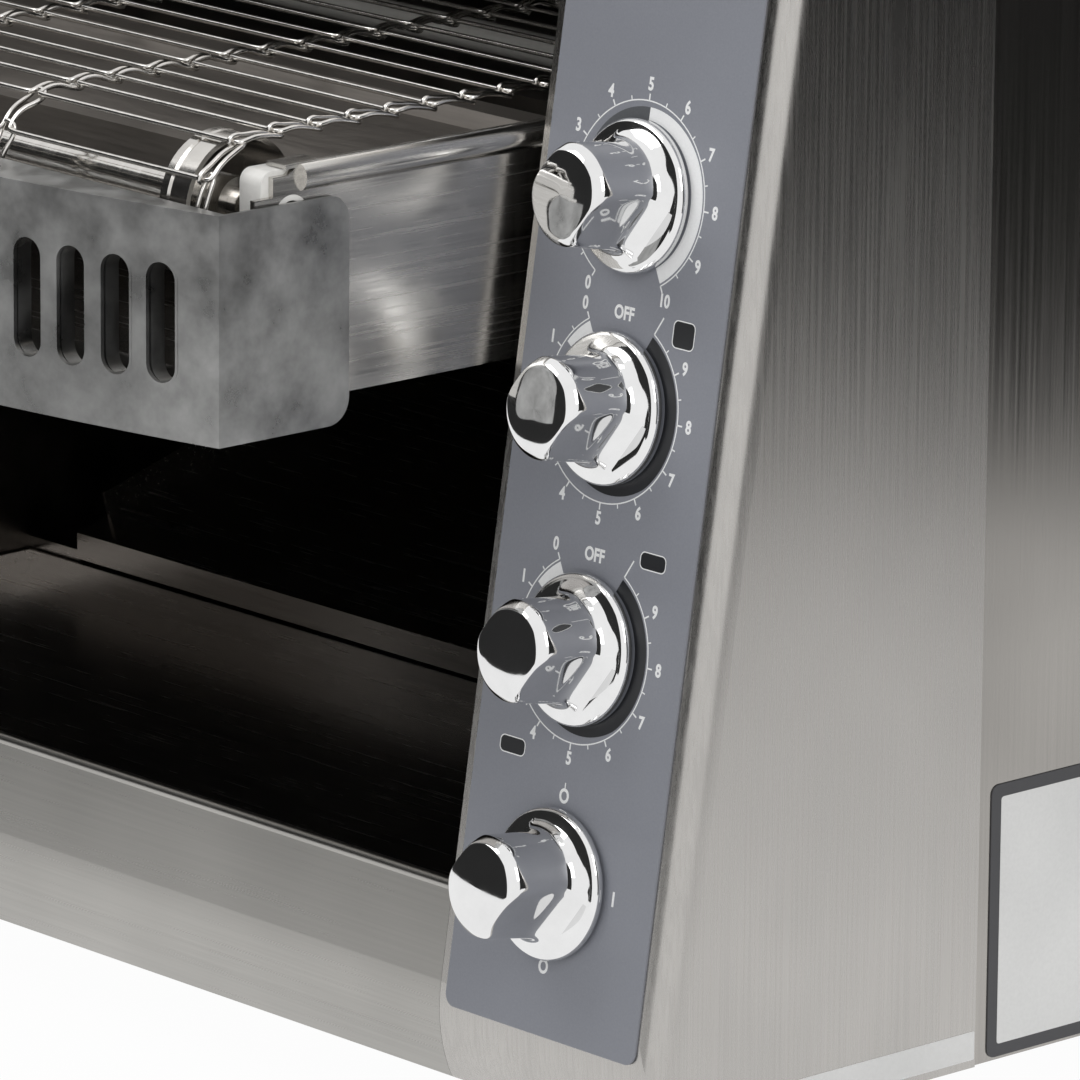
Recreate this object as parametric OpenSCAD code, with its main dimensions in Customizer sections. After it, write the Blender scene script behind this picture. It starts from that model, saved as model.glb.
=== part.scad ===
// Counter-top conveyor toaster: two side housings joined by a tunnel, a wire belt that runs out of the
// front on two rails, quartz heaters above and below it, a toast slide that brings the toast back to a
// tray under the belt, and a sloped control panel on the right.
// Millimetres. X right, Y back, Z up. The origin is on the counter, under the middle of the whole.

/* [Body] */
// Width over both housings
body_w = 571; // [540:1:600]
// Depth from the front guard to the cord gland
overall_d = 575; // [565:1:620]
// Height from the counter to the top cover
overall_h = 416; // [408:1:440]
// Height of the feet
foot_h = 25; // [18:1:40]
// How far the conveyor sticks out of the foot of the sloped face
overhang = 99; // [92:1:104]
// Width of the control housing on the right
control_w = 96.7; // [92:0.1:110]
// Width of the plain housing on the left
plain_w = 63.7; // [60:0.1:80]
// Backward lean of the front faces, in degrees
face_lean = 8.72; // [8:0.1:9.5]
// Sheet steel thickness
sheet_t = 1.2; // [1:0.1:1.5]
// Radius of the sloped outer corners of the housings
corner_r = 9; // [5:0.5:12]
// Radius of the roll at the foot of the sloped face
roll_r = 53.5; // [45:0.5:60]
// Length of the roll along the face
roll_len = 31; // [25:1:35]
// Distance from the foot of the face to the seam of the side panels
seam_back = 135; // [120:1:150]
// Height of the loading opening's top edge above the belt wires
loading_h = 55; // [45:1:60]
// Clearance between sheets that fit into each other
fit_gap = 0.1; // [0.05:0.05:0.2]

/* [Belt] */
// Wire diameter
wire_d = 1.6; // [1.2:0.1:1.8]
// Pitch of the wires
pitch = 15; // [14:0.25:16]
// Wires on the top run
top_wires = 28; // [26:1:28]
// Clearance between the belt and the tunnel wall on each side
belt_gap = 21.3; // [19.5:0.1:25]
// Half width of a link where it leaves its wire
link_root = 1.7; // [1.6:0.1:2]
// Half width of a link at its hook
link_tip = 2.9; // [2.8:0.1:3.5]
// Depth of the top wires below the top of the cover
belt_drop = 97; // [94:0.5:104]
// Width of the folded-back end of each wire
edge_loop = 3.2; // [3:0.1:4]

/* [Conveyor] */
// Outer radius of the idler hubs
hub_r = 20.8; // [19.5:0.1:20.8]
// Length of an idler hub
hub_l = 12; // [10:0.5:14]
// Diameter of the idler shaft
idler_d = 9.5; // [8:0.1:11]
// Diameter of the drive shaft
drive_d = 12; // [10:0.5:14]
// Height of the rail plates
rail_h = 71; // [66:1:74]
// Thickness of the rail plates
rail_t = 2; // [1.5:0.1:2.5]
// Gap between a rail and the tunnel wall
rail_gap = 7.3; // [6:0.1:9]
// Diameter of the bead along the top of a rail
bead_d = 8.5; // [7:0.1:9.5]
// Height of the front guard
guard_h = 69; // [60:1:74]
// Bow of the guard's front, from its corners to its middle
guard_bow = 21.5; // [16:0.5:24]
// Length of the guard's side flanges
guard_side = 50; // [40:1:56]
// Slots in the guard
guard_slots = 22; // [12:2:22]
// Width of a guard slot
slot_w = 10.7; // [8:0.1:12]
// Length of a guard slot
slot_l = 36; // [28:1:40]

/* [Drive] */
// Motor axis ahead of the drive shaft
motor_ahead = 46; // [40:1:52]
// Motor axis below the drive shaft
motor_below = 86; // [82:1:92]
// Side of the square fan frame
fan_size = 78; // [70:1:78]
// Depth of the fan frame
fan_depth = 25; // [20:1:30]

/* [Heat] */
// Diameter of a quartz tube
tube_d = 10; // [8:0.5:11]
// Height of the upper tubes above the belt wires
upper_tube_h = 59; // [54:1:62]
// Depth of the lower tubes below the belt wires
lower_tube_h = 20; // [18:1:22]
// Spacing of the tubes
tube_pitch = 75; // [70:1:85]

/* [Toast path] */
// Height of the collection tray's floor
tray_z = 72; // [68:1:76]
// Height of the tray's rim
tray_rim = 8; // [6:0.5:10]
// Height of the front apron's top edge
apron_z = 86.5; // [82:0.5:90]
// Slope of the toast slide, in degrees
slide_slope = 16.8; // [14:0.1:18]
// Height of the slide's front lip
slide_lip = 9; // [7:0.5:11]
// Width of the toast slide
slide_w = 362; // [350:1:366]

/* [Controls] */
// Diameter of a knob's skirt
skirt_d = 46; // [42:0.5:50]
// Diameter of a knob's grip
grip_d = 31; // [28:0.5:34]
// Height of a knob's end above the panel
knob_h = 32; // [28:0.5:36]
// Diameter of a control spindle
spindle_d = 6; // [5:0.5:6.5]
// Thickness of the panel overlay
overlay_t = 0.6; // [0.4:0.1:1]

/* [Hidden] */
$fn = 48;
e = 1; // overshoot of cuts

// Main places
front_y = -overall_d / 2;
back_y = overall_d / 2;
gland_out = 10;
rear_y = back_y - gland_out;
right_x = body_w / 2;
left_x = -body_w / 2;
tunnel_r = right_x - control_w;
tunnel_l = left_x + plain_w;
tunnel_x = (tunnel_r + tunnel_l) / 2;
tunnel_w = tunnel_r - tunnel_l;
belt_w = tunnel_w - 2 * belt_gap;
joint_pitch = (belt_w - 11.6) / 4; // distance between the columns of links
belt_z = overall_h - belt_drop;
face_foot = front_y + overhang;
seam_y = face_foot + seam_back;
flange = 15; // width of the folded edges
side_flange = 12;
function face_y(z) = face_foot + (z - foot_h) * tan(face_lean);
lid_z = overall_h - sheet_t;
wall_r = tunnel_r + sheet_t; // inner wall's face on the right, behind the housing's own flange
wall_l = tunnel_l - sheet_t;
bolt_r = 2.1; // clearance radius of the small screws

// Teeth of the wheels, and the pitch of the chain
belt_teeth = 8;
driven_teeth = 20;
motor_teeth = 12;
chain_pitch = 6.35;

// Belt path: the front wheel carries nine wires a turn, the rear one eight
front_r = pitch / 2 / sin(20);
rear_step = 360 / belt_teeth;
rear_r = pitch / 2 / sin(rear_step / 2);
rear_phase = rear_step / 4;
idler_y = front_y + 50.5;
idler_z = belt_z - front_r;
rear_lead = sqrt(pitch * pitch - pow(rear_r * (1 - cos(rear_phase)), 2)) - rear_r * sin(rear_phase);
drive_y = idler_y + pitch / 2 + pitch * (top_wires - 1) + rear_lead;
drive_z = belt_z - rear_r;
low_end_y = drive_y + rear_r * cos(rear_phase + rear_step)
    - sqrt(pitch * pitch - pow(rear_r * (1 - sin(rear_phase + rear_step)), 2));
low_spaces = round((low_end_y - idler_y) / pitch);
belt_x0 = tunnel_x - belt_w / 2;
belt_x1 = tunnel_x + belt_w / 2;

pan_y = face_foot + roll_r * 0.35; // front of the base pan
panel_y = rear_y - sheet_t - fit_gap; // inner face of the back panel, less a clearance

// Rails
rail_ro = tunnel_r - rail_gap;
rail_lo = tunnel_l + rail_gap;
rail_top = belt_z - 6.5;
rail_bottom = rail_top - rail_h;
rail_front = idler_y - 14;
rail_rear = drive_y + 24;
bead_front = idler_y + 3.5;
bead_out = 3; // how far the bead stands out of the rail's face
block_w = 20; // width of the idler's bearing blocks
drive_flange = 13;  // and of the drive bearings'
step_y = face_y(belt_z) + 3; // end of the loading plate

// Heaters
upper_z = belt_z + upper_tube_h;
lower_z = belt_z - lower_tube_h;
tube_ys = [for (i = [0:2]) drive_y - 60 - i * tube_pitch];
ceramic_r = tube_d / 2 + 2.5;
reflector_z = belt_z - 32;

// Toast path
slide_y = seam_y + 46;
slide_z = tray_z + 18;
slide_rear = rear_y - 16;
tray_rear = slide_y - 1;
ledge_z = tray_z - sheet_t;

// Drive
motor_y = drive_y - motor_ahead;
motor_z = drive_z - motor_below;
chain_x = wall_r + sheet_t + 16;
wheel_t = 3;
driven_r = chain_pitch / 2 / sin(180 / driven_teeth);
motor_r = chain_pitch / 2 / sin(180 / motor_teeth);
bracket_x = chain_x + 8;
fan_x = wall_r + sheet_t + 1 + fan_size / 2;
fan_z = 118;
fan_bore = fan_size / 2 - 2.5;

// Controls, as distances up the sloped face from the face point at the second dial
dial_x = tunnel_r + 43.7;
dial_z = 236.5;
dial_ups = [63.2, 0, -72.3, -143];
overlay_x0 = tunnel_r + 3.2;
overlay_x1 = tunnel_r + 86.7;
overlay_lo = -189;
overlay_hi = 165;

// ---------------------------------------------------------------- shared shapes

// Places its children on the sloped face: X right, Y up the face, Z out of it
module on_face(up = 0, x = 0) {
    translate([x, face_y(dial_z), dial_z]) rotate([90 - face_lean, 0, 0]) translate([0, up, 0]) children();
}

// Side view (Y, Z) of everything behind the sloped face, with its rolled foot, moved in by d
module side_form(d, y1, z0, z1) {
    roll_z = foot_h + roll_len;
    hit = [face_y(roll_z), roll_z];
    inward = [cos(face_lean), -sin(face_lean)];
    c = hit + roll_r * inward;
    at = hit + d * inward;
    lean = tan(face_lean);
    far = max(y1, c[0]) + 2 * e;
    intersection() {
        translate([-1000, z0]) square([1000 + y1, z1 - z0]);
        union() {
            polygon([at, [at[0] + (z1 + 1 - at[1]) * lean, z1 + 1], [far, z1 + 1], [far, z0 - 1],
                [c[0], z0 - 1], c + [-8, -12]]);
            intersection() {
                translate(c) circle(roll_r - d, $fn = 96);
                polygon([c + 4 * inward, at - 2 * inward, [at[0] - 20, z0 - 60], [c[0] + 4, z0 - 60]]);
            }
        }
    }
}

// A side view carried across the width, from x0 to x1
module across(x0, x1) {
    translate([x0, 0, 0]) rotate([90, 0, 90]) linear_extrude(x1 - x0) children();
}

// The block of a housing: sloped face, rolled foot and one rounded outer corner, moved in by d
module housing_block(x0, x1, corner_right, d, y1, z0, z1) {
    r = corner_r - d;
    cx = corner_right ? x1 - d - r : x0 + d + r;
    intersection() {
        across(x0 - (corner_right ? 0 : 1), x1 + (corner_right ? 1 : 0)) side_form(d, y1, z0, z1);
        on_face() translate([0, -overall_h, -d]) rotate([-90, 0, 0]) linear_extrude(2 * overall_h)
            union() {
                translate([cx, r]) circle(r);
                translate([corner_right ? x0 - 1 : cx, 0]) square([x1 - x0 + 1 - d - r, r + 1]);
                translate([corner_right ? x0 - 1 : x0 + d, r]) square([x1 - x0 + 1 - d, overall_d]);
            }
    }
}

module housing_shell(x0, x1, corner_right) {
    flange_x0 = corner_right ? x0 - e : x1 - sheet_t;
    flange_x1 = corner_right ? x0 + sheet_t : x1 + e;
    difference() {
        housing_block(x0, x1, corner_right, 0, seam_y, foot_h, lid_z);
        difference() {
            housing_block(x0 - (corner_right ? e : 0), x1 + (corner_right ? 0 : e), corner_right, sheet_t,
                seam_y + e, foot_h - e, lid_z + e);
            // the flange that turns back into the tunnel
            across(flange_x0, flange_x1)
                intersection() {
                    side_form(sheet_t - 0.01, seam_y, foot_h, lid_z);
                    polygon([[face_y(foot_h) - e, foot_h - e], [face_y(lid_z) - e, lid_z + e],
                        [face_y(lid_z) + flange, lid_z + e], [face_y(foot_h) + flange, foot_h - e]]);
                }
        }
    }
}

// A flat sheet standing across X between y0 and y1, z0 and z1
module wall_sheet(x, y0, y1, z0, z1) {
    translate([x, y0, z0]) cube([sheet_t, y1 - y0, z1 - z0]);
}

module along_x(x0, x1, y, z, r) {
    translate([x0, y, z]) rotate([0, 90, 0]) cylinder(h = x1 - x0, r = r);
}

// ---------------------------------------------------------------- casing

module base_pan() {
    w = right_x - left_x - 4 * sheet_t - 2 * fit_gap;
    d = panel_y - pan_y;
    color("gainsboro") difference() {
        translate([-w / 2, pan_y, foot_h]) cube([w, d, flange]);
        translate([-w / 2 + sheet_t, pan_y + sheet_t, foot_h + sheet_t])
            cube([w - 2 * sheet_t, d - 2 * sheet_t, flange]);
        // the vents under each housing
        for (x = [left_x + plain_w / 2, right_x - control_w / 2], i = [0:5])
            translate([x - 20, -20 + i * 14, foot_h - e]) cube([40, 5, sheet_t + 2 * e]);
        foot_places() translate([0, 0, -e]) cylinder(h = sheet_t + 2 * e, r = 3.1);
        flange_holes();
    }
}

module foot_places() {
    for (x = [left_x + 40, right_x - 40], y = [face_foot + 60, rear_y - 40])
        translate([x, y, foot_h]) children();
}

// Moulded feet with a shoulder, a flared shoe and a moulded-in stud
module feet() {
    color("dimgray") foot_places() rotate_extrude()
        polygon([[0, -foot_h], [17, -foot_h], [19, -foot_h + 2], [19, -foot_h + 6], [14, -foot_h + 9],
            [13, -2], [11, 0], [3, 0], [3, 11], [2.5, 11.5], [0, 11.5]]);
}

// Front panel under the opening, with a rolled top edge
module base_apron() {
    hem = 2.2;
    x0 = tunnel_l + fit_gap;
    x1 = tunnel_r - fit_gap;
    color("silver") {
        difference() {
            across(x0, x1) side_form(0, face_foot + 40, foot_h, apron_z - hem);
            across(x0 - e, x1 + e) side_form(sheet_t, face_foot + 41, foot_h - e, apron_z);
        }
        along_x(x0, x1, face_y(apron_z - hem) + hem * 0.85, apron_z - hem, hem);
    }
}

module control_housing() {
    color("silver") difference() {
        housing_shell(tunnel_r, right_x, true);
        for (up = dial_ups) on_face(up, dial_x) translate([0, 0, -9]) cylinder(h = 12, r = 5);
    }
}

module plain_housing() {
    color("silver") housing_shell(left_x, tunnel_l, false);
}

// Flat side with a folded flange behind the back panel
module side_panel() {
    x = right_x - 2 * sheet_t - fit_gap;
    difference() {
        union() {
            wall_sheet(x, seam_y - flange, panel_y, foot_h, lid_z);
            translate([x - side_flange, panel_y - sheet_t, foot_h + flange + 1])
                cube([side_flange + e, sheet_t, lid_z - foot_h - flange - 1]);
        }
        flange_holes();
    }
}

module right_side_panel() {
    color("silver") side_panel();
}

module left_side_panel() {
    color("silver") mirror([1, 0, 0]) side_panel();
}

// Clearance holes for the back panel's screws
module flange_holes() {
    rear_screw_places() translate([0, 0, -12]) cylinder(h = 14 + sheet_t, r = bolt_r);
}

// Back panel with the fan opening, the gland hole and rows of louvres
module rear_panel() {
    x0 = left_x + sheet_t + fit_gap;
    color("silver") difference() {
        translate([x0, rear_y - sheet_t, foot_h]) cube([2 * -x0, sheet_t, lid_z - foot_h]);
        translate([fan_x, rear_y + e, fan_z]) rotate([90, 0, 0]) cylinder(h = sheet_t + 2 * e, r = fan_bore);
        gland_place() translate([0, 0, -e]) cylinder(h = sheet_t + 2 * e, r = 11.1);
        for (x = [left_x + plain_w / 2, right_x - control_w / 2], i = [0:7])
            translate([x - 20, rear_y - sheet_t - e, 300 + i * 11]) cube([40, sheet_t + 2 * e, 4]);
        flange_holes();
        fan_screw_places() translate([0, 0, -e]) cylinder(h = 2 * e + sheet_t, r = bolt_r);
    }
}

module top_cover() {
    drop = 12;
    rear_w = body_w - 2 * (side_flange + 3 * sheet_t);
    color("silver") difference() {
        union() {
            translate([left_x, face_y(lid_z), lid_z]) cube([body_w, rear_y - face_y(lid_z), sheet_t]);
            for (x = [left_x, right_x - sheet_t])
                wall_sheet(x, seam_y + fit_gap, rear_y, lid_z - drop, lid_z + sheet_t / 2);
            translate([-rear_w / 2, panel_y - sheet_t, lid_z - drop]) cube([rear_w, sheet_t, drop + sheet_t / 2]);
        }
        flange_holes();
    }
}

// Hood over the loading opening, its lower edge folded back
module hood_front() {
    x0 = tunnel_l + fit_gap;
    x1 = tunnel_r - fit_gap;
    z0 = belt_z + loading_h;
    color("silver") difference() {
        across(x0, x1) side_form(0, face_y(z0) + flange, z0, lid_z);
        across(x0 - e, x1 + e) side_form(sheet_t, face_y(z0) + flange + e, z0 + sheet_t, lid_z + e);
    }
}

// Inner wall between the tunnel and a housing, with a ledge that carries the tray and the slide
module inner_wall(x, ledge_x, ledge_dir, side_holes) {
    y1 = panel_y - sheet_t - fit_gap;
    ledge_w = 12;
    z0 = foot_h + sheet_t;
    difference() {
        union() {
            across(x, x + sheet_t) side_form(sheet_t + fit_gap, y1, z0 + fit_gap, lid_z - fit_gap);
            translate([ledge_dir > 0 ? ledge_x : ledge_x - ledge_w, face_y(tray_z) + flange + 2, ledge_z - sheet_t])
                cube([ledge_w, tray_rear - face_y(tray_z) - flange + 4, sheet_t]);
        }
        for (y = tube_ys, z = [upper_z, lower_z]) along_x(x - e, x + sheet_t + e, y, z, ceramic_r + fit_gap);
        along_x(x - e, x + sheet_t + e, drive_y, drive_z, drive_d / 2 + 2);
        // slot over the pan's front flange
        translate([x - e, pan_y - fit_gap, z0 - e]) cube([sheet_t + 2 * e, sheet_t + 2 * fit_gap, flange + e]);
        for (p = side_holes) along_x(x - e, x + sheet_t + e, p[0], p[1], bolt_r);
    }
}

module inner_wall_right() {
    color("silver") inner_wall(wall_r, wall_r + 0.01, -1, rail_bolts);
}

module inner_wall_left() {
    color("silver") inner_wall(wall_l - sheet_t, wall_l - 0.01, 1, rail_bolts);
}

// Blue-grey printed panel with rounded corners
module control_overlay() {
    r = 4;
    color("slategray") difference() {
        on_face() linear_extrude(overlay_t) difference() {
            union() {
                translate([overlay_x0 + r, overlay_lo]) square([overlay_x1 - overlay_x0 - 2 * r,
                    overlay_hi - overlay_lo]);
                translate([overlay_x0, overlay_lo + r]) square([overlay_x1 - overlay_x0,
                    overlay_hi - overlay_lo - 2 * r]);
                for (x = [overlay_x0 + r, overlay_x1 - r], y = [overlay_lo + r, overlay_hi - r])
                    translate([x, y]) circle(r);
            }
            for (up = dial_ups) translate([dial_x, up]) circle(5);
        }
    }
}

// ---------------------------------------------------------------- heat

// Folded tray over the upper tubes
module upper_reflector() {
    lip = 18;
    y0 = tube_ys[2] - 45;
    y1 = tube_ys[0] + 45;
    z = upper_z + tube_d / 2 + 9;
    x0 = tunnel_l - sheet_t + fit_gap;
    w = tunnel_w + 2 * sheet_t - 2 * fit_gap;
    color("lightgray") translate([x0, 0, 0]) rotate([90, 0, 90]) linear_extrude(w)
        polygon([[y0 - 6, z - lip], [y0, z], [y1, z], [y1 + 6, z - lip], [y1 + 6 + sheet_t, z - lip],
            [y1 + sheet_t / 2, z + sheet_t], [y0 - sheet_t / 2, z + sheet_t], [y0 - 6 - sheet_t, z - lip]]);
}

// Shallow folded tray under the lower tubes, between the two runs of the belt
module lower_reflector() {
    y0 = tube_ys[2] - 40;
    y1 = tube_ys[0] + 26;
    w = rail_ro - rail_lo - 2 * rail_t - 2 * fit_gap;
    color("lightgray") translate([rail_lo + rail_t + fit_gap, 0, 0]) rotate([90, 0, 90]) linear_extrude(w)
        polygon([[y0, reflector_z + 8], [y0 + 6, reflector_z], [y1 - 6, reflector_z], [y1, reflector_z + 8],
            [y1 - sheet_t, reflector_z + 8], [y1 - 6 - sheet_t, reflector_z + sheet_t],
            [y0 + 6 + sheet_t, reflector_z + sheet_t], [y0 + sheet_t, reflector_z + 8]]);
}

// Plate under the loading stretch of the belt, with a raised rear edge
module loading_plate() {
    y0 = idler_y + hub_r + 0.5;
    z = belt_z - 14;
    side = bead_d + fit_gap;
    color("dimgray") translate([rail_lo + side, 0, 0]) rotate([90, 0, 90])
        linear_extrude(rail_ro - rail_lo - 2 * side)
            polygon([[y0, z - 10], [y0, z], [step_y, z], [step_y + 3, z + 5], [step_y + 14, z + 5],
                [step_y + 14, z + 5 - sheet_t], [step_y + 3 + sheet_t, z + 5 - sheet_t],
                [step_y + sheet_t, z - sheet_t], [y0 + sheet_t, z - sheet_t], [y0 + sheet_t, z - 10]]);
}

module tubes(z) {
    for (y = tube_ys) along_x(wall_l - 10, wall_r + 10, y, z, tube_d / 2);
}

module upper_heaters() {
    color("ivory") tubes(upper_z);
}

module lower_heaters() {
    color("ivory") tubes(lower_z);
}

// Ceramic ends: a collar inside the housing, a nose through the wall, and a blind bore for the tube
module heater_ceramics() {
    color("white") for (y = tube_ys, z = [upper_z, lower_z], s = [0, 1])
        translate([s == 1 ? wall_r : wall_l, y, z]) rotate([0, s == 1 ? 90 : -90, 0]) difference() {
            union() {
                translate([0, 0, -4]) cylinder(h = 22, r = ceramic_r);
                translate([0, 0, sheet_t + fit_gap]) cylinder(h = 3, r = ceramic_r + 3);
            }
            translate([0, 0, -5]) cylinder(h = 15.1, r = tube_d / 2 + 0.05);
        }
}

// ---------------------------------------------------------------- conveyor frame

rail_bolts = [[step_y + 20, rail_bottom + 12], [drive_y - 40, rail_bottom + 12],
    [step_y + 20, rail_top - 26]];

// Rail plate with a bead along its top, in a frame whose X points out to the wall
module rail(x_in) {
    difference() {
        union() {
            across(x_in, x_in + rail_t) polygon([[rail_front + 6, rail_bottom], [rail_rear, rail_bottom],
                [rail_rear, rail_top], [bead_front, rail_top], [bead_front - 5, rail_top - 3],
                [rail_front, rail_top - 3], [rail_front, rail_bottom + 6]]);
            // the bead stands out over the plate, and a tab folds in over the idler's block
            along_x_bead(x_in);
            translate([x_in - 7, idler_y - 2, rail_top - sheet_t]) cube([7 + rail_t, 14, sheet_t]);
            // folded foot along the bottom
            translate([x_in - 10, rail_front + 26, rail_bottom]) cube([10 + e, rail_rear - rail_front - 46,
                sheet_t]);
            for (p = rail_bolts) along_x(x_in + rail_t / 2, x_in + rail_t + rail_gap + sheet_t - 0.05,
                p[0], p[1], 5);
        }
        along_x(x_in - e, x_in + rail_t + e, idler_y, idler_z, 6.55);
        translate([x_in - bead_d, idler_y - block_w / 2 - 0.3, idler_z - block_w / 2])
            cube([bead_d, block_w + 0.6, rail_top - sheet_t - 0.1 - idler_z + block_w / 2]);
        along_x(x_in - e, x_in + rail_t + e, drive_y, drive_z, 10.05);
        along_x(x_in - bead_d, x_in, drive_y, drive_z, drive_flange + 0.3);
        along_x(x_in + rail_t / 2, x_in + rail_t + bead_out + e, drive_y, drive_z, 10.35);
        for (y = tube_ys) along_x(x_in - 12, x_in + rail_t + e, y, lower_z, ceramic_r + 1);
        for (p = rail_bolts) along_x(x_in + rail_t, x_in + rail_t + rail_gap + 2 * e, p[0], p[1], 2);
        // notch beside the folded tab at the front end
        translate([x_in - e, rail_front - e, rail_top - 9]) cube([rail_t + 2 * e, 8, 12]);
    }
}

module along_x_bead(x_in) {
    translate([x_in + rail_t + bead_out - bead_d / 2, 0, rail_top - bead_d / 2]) rotate([-90, 0, 0])
        translate([0, 0, bead_front]) cylinder(h = rail_rear - bead_front, r = bead_d / 2);
}

module conveyor_rail_right() {
    color("lightsteelblue") rail(rail_ro - rail_t);
}

module conveyor_rail_left() {
    color("lightsteelblue") mirror([1, 0, 0]) rail(-rail_lo - rail_t);
}

// Square bars that tie the rails together
module cross_bars() {
    x0 = rail_lo + rail_t + 0.05;
    x1 = rail_ro - rail_t - 0.05;
    color("silver") for (p = [[step_y + 2, rail_bottom + 12.5], [drive_y - 60, rail_bottom + 12.5]])
        translate([x0, p[0], p[1]]) difference() {
            cube([x1 - x0, 10, 10]);
            translate([-e, 1.5, 1.5]) cube([x1 - x0 + 2 * e, 10, 7]);
        }
}

// White blocks with a stub pressed into each rail
module idler_bushings() {
    low = -7;
    high = rail_top - sheet_t - 0.3 - idler_z;
    color("white") for (s = [0, 1])
        translate([s == 1 ? rail_ro : rail_lo, idler_y, idler_z]) mirror([s, 0, 0]) difference() {
            union() {
                rotate([0, 90, 0]) cylinder(h = rail_t + 1, r = 6.5);
                translate([rail_t + 0.05, 0, 0]) rotate([90, 0, 90]) linear_extrude(9.4)
                    translate([-block_w / 2, low]) rounded_rect(block_w, high - low, 4);
            }
            along_x(-e, 13, 0, 0, idler_d / 2 + 0.05);
        }
}

module drive_bearings() {
    color("goldenrod") for (s = [0, 1])
        translate([s == 1 ? rail_ro : rail_lo, drive_y, drive_z]) rotate([0, s == 1 ? -90 : 90, 0])
            difference() {
                union() {
                    translate([0, 0, -1.5]) cylinder(h = rail_t + 3, r = 10);
                    translate([0, 0, rail_t + 0.05]) cylinder(h = 4, r = drive_flange);
                }
                translate([0, 0, -3]) cylinder(h = 14, r = drive_d / 2 + 0.05);
            }
}

module idler_shaft() {
    color("gainsboro") along_x(rail_lo + 1, rail_ro - 1, idler_y, idler_z, idler_d / 2);
}

// Cup-shaped hubs with a double rim, open towards the belt's edges
module idler_hubs() {
    rim = 4;
    color("gainsboro") for (s = [0, 1])
        translate([s == 1 ? belt_x1 - 9 : belt_x0 + 9, idler_y, idler_z]) rotate([0, s == 1 ? -90 : 90, 0])
            rotate_extrude() polygon([[idler_d / 2 + 0.05, 0.6], [8, 0.6], [8, hub_l - 2], [hub_r - 1.6, hub_l - 2],
                [hub_r - 1.6, 0], [hub_r, 0], [hub_r, hub_l - rim - 1], [hub_r - 0.8, hub_l - rim - 0.4],
                [hub_r - 0.8, hub_l - rim + 0.4], [hub_r, hub_l - rim + 1], [hub_r, hub_l], [idler_d / 2 + 0.05, hub_l]]);
}

drive_end = chain_x + 8;

module drive_shaft() {
    color("gainsboro") along_x(rail_lo - 3, drive_end, drive_y, drive_z, drive_d / 2);
}

// Plate wheel with a pocket for every wire or roller that stands at the radius r. Its teeth end short of
// them, because the belt and the chain stand still in this model while their wheels turn.
module sprocket_plate(teeth, r, short, pocket_r, phase) {
    difference() {
        circle(r - short, $fn = 96);
        for (i = [0:teeth - 1]) rotate(phase + i * 360 / teeth) translate([r, 0]) circle(pocket_r, $fn = 24);
    }
}

module drive_sprockets() {
    color("silver") for (i = [0:4])
        translate([tunnel_x + (i - 2) * joint_pitch + joint_pitch * 0.28 * (i < 3 ? 1 : -1), drive_y, drive_z])
            rotate([90, 0, 90]) linear_extrude(4, center = true) difference() {
                sprocket_plate(belt_teeth, rear_r, wire_d * 0.71 + 0.2, 5, 90 - rear_phase);
                circle(drive_d / 2 + 0.05);
            }
}

// ---------------------------------------------------------------- belt

function unit(v) = v / norm(v);
function left_of(v) = [-v[1], v[0]];
function mitre(p, i) =
    let (a = left_of(unit(p[max(i, 1)] - p[max(i, 1) - 1])),
        b = left_of(unit(p[min(i, len(p) - 2) + 1] - p[min(i, len(p) - 2)])))
    (a + b) / (1 + a * b);
// Outline of a wire of half width r bent along the points p
function bent_wire(p, r) = concat([for (i = [0:len(p) - 1]) p[i] + r * mitre(p, i)],
    [for (i = [len(p) - 1:-1:0]) p[i] - r * mitre(p, i)]);

// Path of one wire: a folded-back end, a bar, three links that hook under the next wire, and so on
function wire_path(reach) = concat(
    [[belt_x0 + edge_loop, wire_d * 0.75], [belt_x0 + edge_loop, reach], [belt_x0, reach], [belt_x0, 0]],
    [for (j = [-1:1], q = [[-link_root, 0], [-link_tip, reach], [link_tip, reach], [link_root, 0]])
        [tunnel_x + j * joint_pitch + q[0], q[1]]],
    [[belt_x1, 0], [belt_x1, reach], [belt_x1 - edge_loop, reach], [belt_x1 - edge_loop, wire_d * 0.75]]);

// One wire lying at the point a (y, z), reaching to drop below the next wire's point b
module belt_wire(a, b, inward, drop) {
    d = b + drop * inward - a;
    reach = norm(d) + 0.4;
    translate([0, a[0], a[1]]) rotate([atan2(d[1], d[0]), 0, 0])
        linear_extrude(wire_d, center = true) polygon(bent_wire(wire_path(reach), wire_d / 2));
}

function polar(a) = [cos(a), sin(a)];
function top_wire(i) = [idler_y + pitch * (i + 0.5), belt_z];
function low_wire(i) = [idler_y + (low_end_y - idler_y) * i / low_spaces,
    idler_z - front_r + (drive_z - rear_r - idler_z + front_r) * i / low_spaces];
function front_wire(i) = [idler_y, idler_z] + front_r * polar(110 + 40 * i);
function rear_wire(i) = [drive_y, drive_z] + rear_r * polar(90 - rear_phase - rear_step * i);
lap = wire_d + 0.1;  // how far a hook passes under the next wire on a straight run
bend_lap = 2.1;      // where a run meets a wheel
wrap_lap = 3.1;      // and where the belt bends round a wheel

module belt_top_run() {
    color("gainsboro") for (i = [0:top_wires - 2])
        belt_wire(top_wire(i), top_wire(i + 1), [0, -1], i == top_wires - 2 ? bend_lap : lap);
}

module belt_bottom_run() {
    color("gainsboro") for (i = [1:low_spaces])
        belt_wire(low_wire(i), low_wire(i - 1), [0, 1], i == 1 ? wrap_lap : lap);
}

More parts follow.
